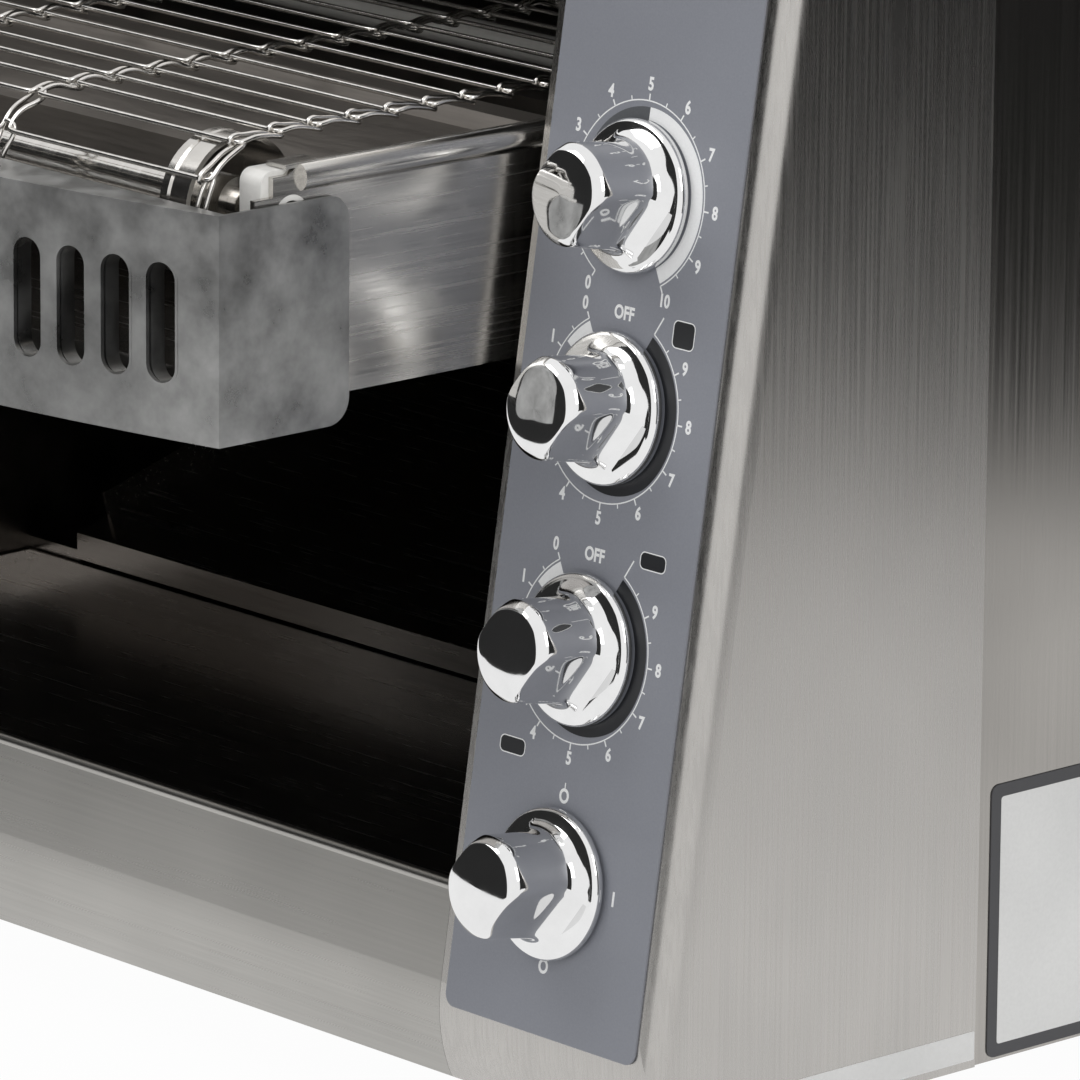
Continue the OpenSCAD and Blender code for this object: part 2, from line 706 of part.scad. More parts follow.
// The wires on the front wheel, with the first of the bottom run and the hooks up to the top run
module belt_front_wrap() {
    color("gainsboro") for (i = [0:4])
        belt_wire(front_wire(i), i == 0 ? top_wire(0) : front_wire(i - 1),
            i == 0 ? [0, -1] : -polar(110 + 40 * (i - 1)), i == 0 ? bend_lap : wrap_lap);
}

module belt_rear_wrap() {
    color("gainsboro") {
        belt_wire(top_wire(top_wires - 1), rear_wire(0), -polar(90 - rear_phase), wrap_lap);
        for (i = [0:3]) belt_wire(rear_wire(i), i == 3 ? low_wire(low_spaces) : rear_wire(i + 1),
            i == 3 ? [0, 1] : -polar(90 - rear_phase - rear_step * (i + 1)), wrap_lap);
    }
}

// ---------------------------------------------------------------- drive

module chain_wheel(teeth, r, bore_r, hub_r2, phase) {
    rotate([90, 0, 90]) difference() {
        union() {
            linear_extrude(wheel_t, center = true) sprocket_plate(teeth, r, 1.8, 3, phase);
            cylinder(h = 6, r = hub_r2);
        }
        translate([0, 0, -wheel_t]) cylinder(h = 12, r = bore_r);
    }
}

module driven_chain_wheel() {
    color("dimgray") translate([chain_x, drive_y, drive_z])
        chain_wheel(driven_teeth, driven_r, drive_d / 2 + 0.05, 11, 0);
}

// Small chain wheel on the motor's output spindle
module motor_chain_wheel() {
    color("dimgray") translate([chain_x, motor_y, motor_z]) {
        rotate([90, 0, 90]) {
            linear_extrude(wheel_t, center = true) sprocket_plate(motor_teeth, motor_r, 1.8, 3, 0);
            translate([0, 0, -5]) cylinder(h = 5 + bracket_x - chain_x + 10, r = 4);
            cylinder(h = 4, r = 7.5);
        }
    }
}

// Side plates of the chain: two loops outside the wheels' teeth, joined by the rollers
module drive_chain() {
    half = 2.6;
    plate = 0.8;
    color("darkgray") translate([chain_x, 0, 0]) rotate([90, 0, 90]) {
        for (s = [-half, half - plate]) translate([0, 0, s]) linear_extrude(plate) chain_band();
        for (p = roller_points()) translate([p[0], p[1], -half + 0.1]) cylinder(h = 2 * half - 0.2, r = 1.6, $fn = 24);
    }
}

gap_v = [motor_y - drive_y, motor_z - drive_z];
span = norm(gap_v);
belt_angle = asin((driven_r - motor_r) / span); // slope of the straight stretches
base_angle = atan2(gap_v[1], gap_v[0]);

module chain_band() {
    w = 2.3;
    difference() {
        chain_form(w);
        chain_form(-w);
    }
}

// Area inside the chain, moved out by w
module chain_form(w) {
    n = [for (s = [-1, 1]) polar(base_angle + s * (90 - belt_angle))];
    a = [drive_y, drive_z];
    b = [motor_y, motor_z];
    translate(a) circle(driven_r + w, $fn = 64);
    translate(b) circle(motor_r + w);
    polygon([a, a + (driven_r + w) * n[0], b + (motor_r + w) * n[0], b, b + (motor_r + w) * n[1],
        a + (driven_r + w) * n[1]]);
}

// Rollers in every tooth gap that the chain covers, and spaced along the straight stretches
function roller_points() = concat(
    [for (i = [0:driven_teeth - 1]) let (t = i * 360 / driven_teeth, d = wrap180(t - base_angle))
        if (abs(d) > 96) [drive_y, drive_z] + driven_r * polar(t)],
    [for (i = [0:motor_teeth - 1]) let (t = i * 360 / motor_teeth, d = wrap180(t - base_angle))
        if (abs(d) < 78) [motor_y, motor_z] + motor_r * polar(t)],
    [for (s = [-1, 1], i = [2:11]) let (n = polar(base_angle + s * (90 - belt_angle)), f = i / 13)
        [drive_y, drive_z] * (1 - f) + [motor_y, motor_z] * f + (driven_r * (1 - f) + motor_r * f) * n]);
function wrap180(t) = t - 360 * floor((t + 180) / 360);

// Gearbox with a rounded back and a finned motor can
module gear_motor() {
    box_y = 60;
    box_z = 76;
    box_x = 24;
    can_r = 27;
    x0 = bracket_x + 2 + fit_gap;
    x_end = right_x - 3 * sheet_t - 3;
    color("darkslategray") difference() {
        union() {
            translate([x0, motor_y - box_y / 2, motor_z - box_z + 26]) rotate([90, 0, 90])
                linear_extrude(box_x) rounded_rect(box_y, box_z, 8);
            along_x(x0 + box_x - e, x_end, motor_y, motor_z - 14, can_r);
            for (i = [0:3]) along_x(x0 + box_x + 5 + i * 7, x0 + box_x + 8 + i * 7, motor_y, motor_z - 14,
                can_r + 2);
        }
        along_x(x0 - e, x0 + 14, motor_y, motor_z, 4.05);
    }
}

module rounded_rect(w, h, r) {
    translate([r, 0]) square([w - 2 * r, h]);
    translate([0, r]) square([w, h - 2 * r]);
    for (x = [r, w - r], y = [r, h - r]) translate([x, y]) circle(r);
}

// Plate that carries the motor, standing off the inner wall on two folded legs
module motor_bracket() {
    t = 2;
    y0 = motor_y - 36;
    y1 = motor_y + 36;
    z0 = motor_z - 58;
    z1 = motor_z + 32;
    foot = 14;
    x_wall = wall_r + sheet_t + 0.05;
    color("silver") difference() {
        union() {
            translate([bracket_x, y0, z0]) cube([t, y1 - y0, z1 - z0]);
            translate([x_wall, y0, z0]) cube([bracket_x + t - x_wall, y1 - y0, t]);
            translate([x_wall, y0, z0 - foot]) cube([t, y1 - y0, foot + t]);
            translate([x_wall, y0, z0]) cube([bracket_x + t - x_wall, t, 60]);
            translate([x_wall, y0 - foot, z0]) cube([t, foot + t, 60]);
        }
        along_x(bracket_x - e, bracket_x + t + e, motor_y, motor_z, 9);
    }
}

// Square fan frame with a round duct, corner bosses and three arms to the hub
module fan_place() {
    translate([fan_x, rear_y - sheet_t - fit_gap, fan_z]) rotate([90, 0, 0]) children();
}

module fan_housing() {
    color("dimgray") fan_place() difference() {
        union() {
            linear_extrude(fan_depth) difference() {
                translate([-fan_size / 2, -fan_size / 2]) rounded_rect(fan_size, fan_size, 5);
                circle(fan_bore - 0.5);
            }
            // the motor's seat and its arms are at the inner end
            translate([0, 0, fan_depth - 3]) cylinder(h = 3, r = 15);
            for (a = [30, 150, 270]) rotate(a) translate([10, -2.5, fan_depth - 3]) cube([fan_bore - 10, 5, 3]);
            translate([0, 0, fan_depth - 8]) cylinder(h = 6, r = 3);
        }
        for (x = [-1, 1], y = [-1, 1]) translate([x * (fan_size / 2 - 4.5), y * (fan_size / 2 - 4.5), -e])
            cylinder(h = fan_depth + 2 * e, r = 1.8);
    }
}

// Hub with seven twisted blades
module fan_rotor() {
    color("black") fan_place() difference() {
        union() {
            translate([0, 0, 4]) cylinder(h = fan_depth - 8, r = 14);
            for (i = [0:6]) rotate(i * 360 / 7) translate([13, 0, fan_depth / 2 - 1]) rotate([38, 0, 0])
                translate([0, -8, -0.7]) cube([fan_bore - 16, 16, 1.4]);
        }
        translate([0, 0, fan_depth - 9]) cylinder(h = 10, r = 3.1);
        translate([0, 0, fan_depth - 5]) cylinder(h = 6, r = 15.2);
    }
}

// Finger guard of rings and arms on the outside of the back panel
module fan_guard() {
    t = 1.8;
    color("silver") translate([fan_x, rear_y + fit_gap / 2, fan_z]) rotate([-90, 0, 0]) {
        for (r = [8:8:fan_bore]) rotate_extrude() translate([r, t]) square([t, t]);
        for (a = [45:90:315]) rotate(a) translate([8, -t / 2, 0]) cube([fan_size / 2 * 1.26 - 8, t, t + 0.2]);
        for (a = [45:90:315]) rotate(a) translate([fan_size / 2 * 1.255, 0, 0]) difference() {
            cylinder(h = t, r = 4);
            translate([0, 0, -e]) cylinder(h = t + 2 * e, r = bolt_r);
        }
    }
}

module fan_screw_places() {
    for (a = [45:90:315]) translate([fan_x, rear_y - sheet_t, fan_z]) rotate([-90, 0, 0]) rotate(a)
        translate([fan_size / 2 * 1.255, 0, 0]) children();
}

module rear_screw_places() {
    side = right_x - 2 * sheet_t - side_flange / 2;
    for (x = [-side, side], i = [0:4])
        translate([x, rear_y - sheet_t, foot_h + 35 + i * (lid_z - foot_h - 55) / 4]) rotate([-90, 0, 0]) children();
    for (x = [tunnel_l + 40, tunnel_x, tunnel_r - 40], z = [foot_h + 8, lid_z - 6])
        translate([x, rear_y - sheet_t, z]) rotate([-90, 0, 0]) children();
}

// Domed screws along the edges of the back panel
module rear_screws() {
    color("silver") rear_screw_places() translate([0, 0, sheet_t + 0.03]) screw();
}

module screw() {
    rotate_extrude() polygon([[0, -6], [1.6, -6], [2, -5], [2, 0], [3.8, 0], [3.6, 1.1], [2.6, 1.9], [0, 2.2]]);
}

// ---------------------------------------------------------------- electrics

module terminal_block() {
    x = left_x + 36;
    color("ivory") translate([x, rear_y - 150, foot_h + sheet_t + fit_gap]) difference() {
        cube([20, 60, 18]);
        for (i = [0:4]) translate([-e, 4 + i * 11, 10]) cube([22, 8, 9]);
    }
}

module gland_place() {
    translate([left_x + 40, rear_y - sheet_t, 60]) rotate([-90, 0, 0]) children();
}

// Cord gland: the flange and its nut outside and a threaded sleeve through the panel
module cord_gland() {
    color("black") gland_place() difference() {
        union() {
            translate([0, 0, -12]) cylinder(h = 14, r = 11);
            translate([0, 0, -7]) cylinder(h = 7 - fit_gap, r = 14.5, $fn = 6);
            translate([0, 0, sheet_t + fit_gap]) cylinder(h = gland_out - 3.1, r = 14.5, $fn = 6);
            translate([0, 0, sheet_t]) cylinder(h = gland_out, r = 11.5);
        }
        translate([0, 0, -13]) cylinder(h = 40, r = 6);
    }
}

// Body of a control behind the face, with a threaded neck and a nut
module control_body(w, d) {
    translate([0, 0, -sheet_t - 1 - d]) linear_extrude(d) difference() {
        translate([-w / 2, -w / 2]) rounded_rect(w, w, 3);
        circle(spindle_d / 2 + 0.05);
    }
    difference() {
        union() {
            translate([0, 0, -sheet_t - 1.5]) cylinder(h = sheet_t + 1.5 + overlay_t + 3, r = 4.8);
            translate([0, 0, overlay_t + 0.05]) cylinder(h = 2.2, r = 7, $fn = 6);
            translate([0, 0, -sheet_t - 1]) cylinder(h = 0.95, r = 9);
        }
        translate([0, 0, -9]) cylinder(h = 30, r = spindle_d / 2 + 0.05);
    }
    for (x = [-1, 1], y = [-1, 1]) translate([x * w / 4 - 0.4, y * w / 4 - 3, -sheet_t - 1 - d - 8])
        cube([0.8, 6, 8.5]);
}

module speed_control() {
    color("darkgreen") on_face(dial_ups[0], dial_x) control_body(28, 20);
}

module top_heat_control() {
    color("sienna") on_face(dial_ups[1], dial_x) control_body(36, 28);
}

module bottom_heat_control() {
    color("sienna") on_face(dial_ups[2], dial_x) control_body(36, 28);
}

module power_switch() {
    color("dimgray") on_face(dial_ups[3], dial_x) control_body(34, 34);
}

knob_turn = -35; // the rest position of all four knobs

// Chromed knob: a flared skirt, a round grip with two flats that run out above the skirt, and a bevelled
// end. Its spindle is a separate steel solid that turns with it.
module knob() {
    skirt_h = 7;
    base = overlay_t + 0.8;
    flat = grip_d * 0.36;
    color("gainsboro") {
        difference() {
            rotate_extrude() polygon([[0, base], [skirt_d / 2 - 1, base], [skirt_d / 2, base + 1],
                [skirt_d / 2, base + 2.6], [skirt_d / 2 - 0.8, base + 3.6], [skirt_d / 2 - 2.2, base + 4.2],
                [grip_d / 2 + 2, skirt_h], [grip_d / 2 + 0.8, skirt_h + 2], [grip_d / 2 + 0.4, skirt_h + 6],
                [grip_d / 2, knob_h - 4], [grip_d / 2 - 1, knob_h - 2.2], [grip_d / 2 - 3.2, knob_h - 0.7],
                [0, knob_h]]);
            for (s = [0, 180]) rotate(s) {
                translate([flat, -skirt_d, skirt_h + 8]) cube([skirt_d, 2 * skirt_d, knob_h]);
                translate([flat + 12, 0, skirt_h + 8]) rotate([90, 0, 0])
                    cylinder(h = 2 * skirt_d, r = 12, center = true);
            }
            translate([0, 0, base - e]) cylinder(h = 3.4 + e, r = skirt_d / 2 - 4);
            translate([0, 0, base - e]) cylinder(h = knob_h - 8 - base + e, r = spindle_d / 2 + 0.05);
            translate([0, 0, base]) cylinder(h = 6, r = 8);
        }
        difference() {
            translate([0, 0, -sheet_t - 12]) cylinder(h = sheet_t + 12 + knob_h - 8.2, r = spindle_d / 2);
            translate([spindle_d / 2 - 1, -spindle_d, knob_h - 19]) cube([spindle_d, 2 * spindle_d, 20]);
        }
    }
}

module speed_knob() {
    on_face(dial_ups[0], dial_x) rotate(knob_turn) knob();
}

module top_heat_knob() {
    on_face(dial_ups[1], dial_x) rotate(knob_turn) knob();
}

module bottom_heat_knob() {
    on_face(dial_ups[2], dial_x) rotate(knob_turn) knob();
}

module power_knob() {
    on_face(dial_ups[3], dial_x) rotate(knob_turn) knob();
}

// ---------------------------------------------------------------- toast path

slide_x0 = tunnel_x - slide_w / 2;

// Polished slope from under the belt's rear end down to the tray
module toast_slide() {
    len = (slide_rear - slide_y) / cos(slide_slope);
    side_h = 10;
    ear = 14;
    ear_w = slide_x0 - wall_l + e - fit_gap;
    color("dimgray") {
        translate([slide_x0, slide_y, slide_z]) {
            rotate([slide_slope, 0, 0]) {
                translate([0, 0, -sheet_t]) cube([slide_w, len, sheet_t]);
                for (x = [0, slide_w - sheet_t]) translate([x, ear, -sheet_t])
                    cube([sheet_t, len - ear - 30, side_h]);
            }
            translate([0, 0, -slide_lip]) cube([slide_w, sheet_t, slide_lip]);
        }
        // folded ears that rest on the ledges of the inner walls
        for (x = [wall_l + fit_gap, slide_x0 + slide_w - e]) translate([x, slide_y, ledge_z + 0.05]) {
            cube([ear_w, ear, sheet_t]);
            cube([ear_w, sheet_t, slide_z - slide_lip - ledge_z + 3]);
        }
    }
}

// Curved plate behind the belt that turns the falling toast onto the slide
module rear_deflector() {
    r = 60;
    y1 = rear_y - sheet_t - 2;
    z0 = slide_z + (slide_rear - slide_y) * tan(slide_slope) + 2;
    z1 = belt_z + 24;
    cy = y1 - r;
    cz = z0 + r * 0.8;
    color("lightgray") across(wall_l + 0.1, wall_r - 0.1) difference() {
        union() {
            intersection() {
                translate([cy, cz]) circle(r, $fn = 96);
                translate([cy + r * 0.6, z0]) square([r, cz - z0]);
            }
            translate([cy + r * 0.6, cz]) square([r * 0.4, z1 - cz]);
        }
        translate([cy, cz]) circle(r - sheet_t, $fn = 96);
        translate([cy, cz]) square([r - sheet_t, z1 - cz + e]);
    }
}

// Lift-out tray with a low rim at the back and the sides
module collection_tray() {
    x0 = tunnel_l + 0.3;
    w = tunnel_w - 0.6;
    y0 = face_y(tray_z) + sheet_t + 1.5;
    color("dimgray") difference() {
        translate([x0, y0, ledge_z]) cube([w, tray_rear - y0, tray_rim + sheet_t]);
        translate([x0 + sheet_t, y0 + sheet_t, tray_z]) cube([w - 2 * sheet_t, tray_rear - y0 - 2 * sheet_t,
            tray_rim + e]);
    }
}

// Shallow pan that slides on the rails' folded feet, under the belt
module crumb_tray() {
    x0 = rail_lo + rail_t + 0.3;
    w = rail_ro - rail_lo - 2 * rail_t - 0.6;
    y0 = guard_corner_y + 4;
    z0 = rail_bottom + sheet_t + 0.05;
    h = 9;
    color("lightgray") difference() {
        translate([x0, y0, z0]) cube([w, drive_y - 70 - y0, h]);
        translate([x0 + sheet_t, y0 + sheet_t, z0 + sheet_t]) cube([w - 2 * sheet_t, drive_y - 70 - y0
            - 2 * sheet_t, h]);
    }
}

guard_corner_y = front_y + guard_bow;
guard_z0 = rail_bottom - 9;
guard_x = rail_ro + 0.4 + sheet_t - tunnel_x; // half width outside the flanges
guard_r = (guard_x * guard_x + guard_bow * guard_bow) / (2 * guard_bow);
slot_pitch = (2 * guard_x - 42.2) / (guard_slots - 1);

// Bowed front of the guard in plan, moved in by d
module guard_plan(d) {
    intersection() {
        translate([tunnel_x, front_y + guard_r]) circle(guard_r - d, $fn = 180);
        translate([tunnel_x - guard_x + d, front_y - e]) square([2 * guard_x - 2 * d,
            guard_bow + guard_side + e]);
    }
}

// Slotted front with side flanges that lap the rails and a flat inward top
module front_guard() {
    r = 8;
    t = sheet_t;
    back = guard_corner_y + guard_side;
    slot_z = guard_z0 + guard_h / 2;
    color("darkgray") difference() {
        union() {
            translate([0, 0, guard_z0]) linear_extrude(guard_h) difference() {
                guard_plan(0);
                guard_plan(t);
                translate([tunnel_x - guard_x + t, guard_corner_y + 4]) square([2 * guard_x - 2 * t, 100]);
            }
            // flat top with a straight inner edge, and the foot that the crumb tray stands on
            for (z = [guard_z0, guard_z0 + guard_h - t]) translate([0, 0, z]) linear_extrude(t)
                difference() {
                    guard_plan(0);
                    translate([tunnel_x - guard_x + t, guard_corner_y + (z == guard_z0 ? 6 : 3)])
                        square([2 * guard_x - 2 * t, 100]);
                }
        }
        for (i = [0:guard_slots - 1]) {
            x = tunnel_x + (i - (guard_slots - 1) / 2) * slot_pitch;
            translate([x, 0, slot_z]) rotate([90, 0, 0]) linear_extrude(-front_y + e, convexity = 2) {
                square([slot_w, slot_l - slot_w], center = true);
                for (s = [-1, 1]) translate([0, s * (slot_l - slot_w) / 2]) circle(slot_w / 2);
            }
        }
        // rounded rear corners of the flanges
        for (z = [guard_z0, guard_z0 + guard_h - r]) translate([tunnel_x - guard_x - e, back - r, z]) difference() {
            cube([2 * guard_x + 2 * e, r + e, r]);
            translate([-e, 0, z == guard_z0 ? r : 0]) rotate([0, 90, 0]) cylinder(h = 2 * guard_x + 4 * e, r = r);
        }
    }
}

base_pan();
base_apron();
feet();
control_housing();
right_side_panel();
plain_housing();
left_side_panel();
rear_panel();
top_cover();
hood_front();
inner_wall_right();
inner_wall_left();
control_overlay();
upper_reflector();
lower_reflector();
loading_plate();
upper_heaters();
lower_heaters();
heater_ceramics();
conveyor_rail_right();
conveyor_rail_left();
cross_bars();
idler_bushings();
drive_bearings();
belt_top_run();
belt_bottom_run();
belt_front_wrap();
belt_rear_wrap();
idler_shaft();
idler_hubs();
drive_shaft();
drive_sprockets();
driven_chain_wheel();
motor_chain_wheel();
drive_chain();
gear_motor();
motor_bracket();
fan_housing();
fan_rotor();
fan_guard();
terminal_block();
cord_gland();
speed_control();
top_heat_control();
bottom_heat_control();
power_switch();
speed_knob();
top_heat_knob();
bottom_heat_knob();
power_knob();
toast_slide();
rear_deflector();
collection_tray();
crumb_tray();
front_guard();
rear_screws();
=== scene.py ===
"""Counter-top conveyor toaster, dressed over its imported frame. Sizes here are in millimetres."""

import math

import bpy
import numpy as np
from mathutils import Matrix


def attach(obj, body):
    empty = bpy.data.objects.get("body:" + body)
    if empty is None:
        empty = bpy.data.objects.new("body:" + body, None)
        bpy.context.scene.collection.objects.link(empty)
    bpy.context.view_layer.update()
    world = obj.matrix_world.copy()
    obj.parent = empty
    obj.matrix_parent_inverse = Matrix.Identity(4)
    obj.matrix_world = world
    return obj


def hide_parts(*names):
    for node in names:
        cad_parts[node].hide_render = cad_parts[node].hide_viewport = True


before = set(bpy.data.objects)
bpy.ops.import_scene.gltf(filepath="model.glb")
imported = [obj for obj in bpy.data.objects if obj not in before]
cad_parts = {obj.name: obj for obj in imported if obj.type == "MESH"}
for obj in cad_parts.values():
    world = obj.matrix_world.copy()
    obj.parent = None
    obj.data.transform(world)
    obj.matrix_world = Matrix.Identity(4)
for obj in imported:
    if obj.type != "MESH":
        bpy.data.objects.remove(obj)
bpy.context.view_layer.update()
MM = 0.001

# ---------------------------------------------------------------- casing
# Two upright housings, flat sides, back, lid and hood of satin stainless sheet. The sheet is drawn under
# an abrasive belt, which leaves fine upright lines, then folded. The apron's lines run along its length.


def finish(name, colour, rough, metal, grain, tone=0.12, spread=0.08, relief=0.0, cloud=0.1, **even):
    """Shader stirred by a fine and a broad noise over the object's own coordinates.

    grain is the fine noise's waves per metre along X, Y and Z, so unequal numbers draw it into lines.
    tone and cloud are how far the fine and the broad noise shade the colour, spread how far the fine
    one moves the roughness, and relief its height in mm.
    """
    material = bpy.data.materials.new(name)
    material.use_nodes = True
    tree = material.node_tree
    shader = tree.nodes["Principled BSDF"]
    shader.inputs["Metallic"].default_value = metal
    for socket, value in even.items():
        shader.inputs[socket.replace("_", " ")].default_value = value

    def node(kind, feeds, **settings):
        made = tree.nodes.new("ShaderNode" + kind)
        for key, value in settings.items():
            setattr(made, key, value)
        for socket, feed in feeds.items():
            if isinstance(feed, bpy.types.NodeSocket):
                tree.links.new(feed, made.inputs[socket])
            else:
                made.inputs[socket].default_value = feed
        return made.outputs[0]

    place = tree.nodes.new("ShaderNodeTexCoord").outputs["Object"]
    drawn = node("Mapping", {"Vector": place, "Scale": grain})
    fine = node("TexNoise", {"Vector": drawn, "Scale": 1.0, "Detail": 4.0, "Roughness": 0.6})
    broad = node("TexNoise", {"Vector": place, "Scale": 11.0, "Detail": 2.0})
    lines = node("MapRange", {"Value": fine, "From Min": 0.3, "From Max": 0.7, "To Min": 1 - tone,
                              "To Max": 1 + tone})
    patches = node("MapRange", {"Value": broad, "From Min": 0.3, "From Max": 0.7, "To Min": 1 - cloud,
                                "To Max": 1 + cloud})
    shade = node("Math", {0: lines, 1: patches}, operation="MULTIPLY")
    tint = node("VectorMath", {0: tuple(colour), "Scale": shade}, operation="SCALE")
    tree.links.new(tint, shader.inputs["Base Color"])
    tree.links.new(node("MapRange", {"Value": fine, "From Min": 0.3, "From Max": 0.7,
                                     "To Min": max(rough - spread, 0.02), "To Max": rough + spread}),
                   shader.inputs["Roughness"])
    if relief:
        tree.links.new(node("Bump", {"Height": fine, "Strength": 1.0, "Distance": relief * MM}),
                       shader.inputs["Normal"])
    return material


def dress(material, *names):
    """Gives that material to the whole of each CAD node."""
    for name in names:
        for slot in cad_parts[name].material_slots:
            slot.material = material


upright_grain = (900, 900, 9)
satin_steel = finish("satin_steel", (0.47, 0.455, 0.435), 0.27, 1.0, upright_grain, 0.07, 0.04, 0.002, 0.07)
dress(satin_steel, "control_housing", "plain_housing", "rear_panel", "hood_front")
# The flat side panels get a darker, glossier copy of the housings' steel: painted shade for the darker
# reflection the sides show.
panel_steel_painted_shade = finish("panel_steel_painted_shade", (0.36, 0.345, 0.325), 0.2, 1.0, upright_grain, 0.07, 0.04, 0.002, 0.12)
dress(panel_steel_painted_shade, "right_side_panel", "left_side_panel")
lid_steel = finish("lid_steel", (0.40, 0.39, 0.37), 0.3, 1.0, (9, 900, 900), 0.07, 0.04, 0.002)
dress(lid_steel, "top_cover", "base_apron")

# ---------------------------------------------------------------- base
# Galvanised pan with a folded rim, on four moulded rubber feet whose studs pass through it.

zinc = finish("zinc", (0.46, 0.47, 0.48), 0.42, 0.9, (90, 90, 90), 0.18, 0.1, 0.01)
dress(zinc, "base_pan")
rubber = finish("rubber", (0.025, 0.025, 0.026), 0.75, 0.0, (900, 900, 900), 0.2, 0.08, 0.03)
dress(rubber, "feet")

# ---------------------------------------------------------------- tunnel
# The heat chamber between the housings: side walls, lower reflector, cross bars and the curved plate behind
# the belt are plain sheet coloured almost black, which is painted shade for the tunnel's shaded inside. The
# upper reflector is lighter sheet. Quartz tubes run through ceramic ends in the side walls.

# Near-black colour here is painted shade for the dark inside of the tunnel.
tunnel_steel_painted_shade = finish("tunnel_steel_painted_shade", (0.10, 0.09, 0.08), 0.38, 1.0, (60, 60, 60), 0.25, 0.1, 0.01)
dress(tunnel_steel_painted_shade, "inner_wall_right", "inner_wall_left", "rear_deflector", "lower_reflector", "cross_bars")
reflector_steel = finish("reflector_steel", (0.32, 0.31, 0.29), 0.3, 1.0, (14, 1200, 1200), 0.15, 0.08)
dress(reflector_steel, "upper_reflector")
plate_steel = finish("plate_steel", (0.17, 0.155, 0.14), 0.5, 0.85, (40, 700, 700), 0.15, 0.08, 0.004)
dress(plate_steel, "loading_plate")
quartz = finish("quartz", (0.78, 0.76, 0.72), 0.22, 0.0, (30, 260, 260), 0.1, 0.05, 0.01, Coat_Weight=0.5)
dress(quartz, "upper_heaters", "lower_heaters")
ceramic = finish("ceramic", (0.80, 0.78, 0.72), 0.6, 0.0, (500, 500, 500), 0.06, 0.08, 0.02)
dress(ceramic, "heater_ceramics")

# ---------------------------------------------------------------- conveyor frame
# Bright rails with a bead rolled along the top, white bearing blocks, ground shafts, and turned hubs.

bright_steel = finish("bright_steel", (0.62, 0.60, 0.57), 0.16, 1.0, (25, 25, 160), 0.1, 0.06, 0.03)
dress(bright_steel, "idler_hubs")
rail_steel = finish("rail_steel", (0.60, 0.585, 0.56), 0.24, 1.0, (700, 14, 700), 0.12, 0.08, 0.006)
dress(rail_steel, "conveyor_rail_right", "conveyor_rail_left")
ground_steel = finish("ground_steel", (0.66, 0.64, 0.61), 0.14, 1.0, (400, 60, 60), 0.08, 0.05, 0.004)
dress(ground_steel, "idler_shaft", "drive_shaft", "drive_sprockets")
white_nylon = finish("white_nylon", (0.83, 0.82, 0.79), 0.4, 0.0, (300, 300, 300), 0.04, 0.06, 0.01)
dress(white_nylon, "idler_bushings")
bronze = finish("bronze", (0.50, 0.33, 0.14), 0.4, 1.0, (400, 400, 400), 0.15, 0.08, 0.01)
dress(bronze, "drive_bearings")

# ---------------------------------------------------------------- wire belt
# Each strand is one round wire across the belt. At three joints it turns back in a narrow link that hooks
# under the next strand, and at each edge it makes a double loop.

belt_steel = finish("belt_steel", (0.70, 0.68, 0.65), 0.2, 1.0, (300, 300, 300), 0.08, 0.06, 0.004)


def piece(name, points, faces, material, body="toaster_body", slot="", stands_for=(), angle=35):
    """Mesh object at the origin, from points in mm, that rides on a CAD body."""
    mesh = bpy.data.meshes.new(name)
    mesh.from_pydata((np.asarray(points) * MM).tolist(), [], [list(map(int, f)) for f in faces])
    mesh.shade_smooth()
    mesh.set_sharp_from_angle(angle=math.radians(angle))
    mesh.materials.append(material)
    made = bpy.data.objects.new(name, mesh)
    bpy.context.scene.collection.objects.link(made)
    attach(made, body)
    if stands_for:
        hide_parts(*stands_for)
    return made


def quads(rows, cols, round_rows=False, round_cols=True):
    """Index quads of a grid of points, closed on itself in the directions that go round."""
    r = np.arange(rows if round_rows else rows - 1)[:, None]
    c = np.arange(cols if round_cols else cols - 1)[None, :]
    r1, c1 = (r + 1) % rows, (c + 1) % cols
    return np.stack([r * cols + c, r * cols + c1, r1 * cols + c1, r1 * cols + c], -1).reshape(-1, 4)


def softened(path, times=2):
    """Corner cutting: each edge gives the points at a quarter and three quarters of its length."""
    for _ in range(times):
        a, b = path[:-1], path[1:]
        cut = np.stack([0.75 * a + 0.25 * b, 0.25 * a + 0.75 * b], 1).reshape(-1, path.shape[1])
        path = np.concatenate([path[:1], cut, path[-1:]])
    return path


def wire(path, radius, across, sides=7):
    """Round wire along a path: p + radius (cos t n + sin t b), where b is tangent x across, and n b x
    tangent. The ends are closed by flat faces."""
    along = np.gradient(path, axis=0)
    along /= np.linalg.norm(along, axis=1, keepdims=True)
    b = np.cross(along, across)
    b /= np.linalg.norm(b, axis=1, keepdims=True)
    n = np.cross(b, along)
    t = np.linspace(0, 2 * np.pi, sides, endpoint=False)[None, :, None]
    rings = path[:, None] + radius * (np.cos(t) * n[:, None] + np.sin(t) * b[:, None])
    faces = quads(len(path), sides).tolist()
    last = (len(path) - 1) * sides
    return rings.reshape(-1, 3), faces + [list(range(sides))[::-1], list(range(last, last + sides))]


def joined(parts):
    """One list of points and one of faces from several."""
    points, faces, at = [], [], 0
    for p, f in parts:
        points.append(p)
        faces += [[i + at for i in face] for face in f]
        at += len(p)
    return np.concatenate(points), faces


PITCH, WIRE_R = 15.0, 0.8
BELT_X0, BELT_X1, BELT_MID, JOINT = -200.5, 167.5, -16.5, 89.1
IDLER = np.array([-237.0, 297.073])
DRIVE = np.array([186.674, 299.402])
FRONT_R, REAR_R, BELT_Z = 21.929, 19.598, 319.0
LOW_SPACES, LOW_END = 28, 179.0

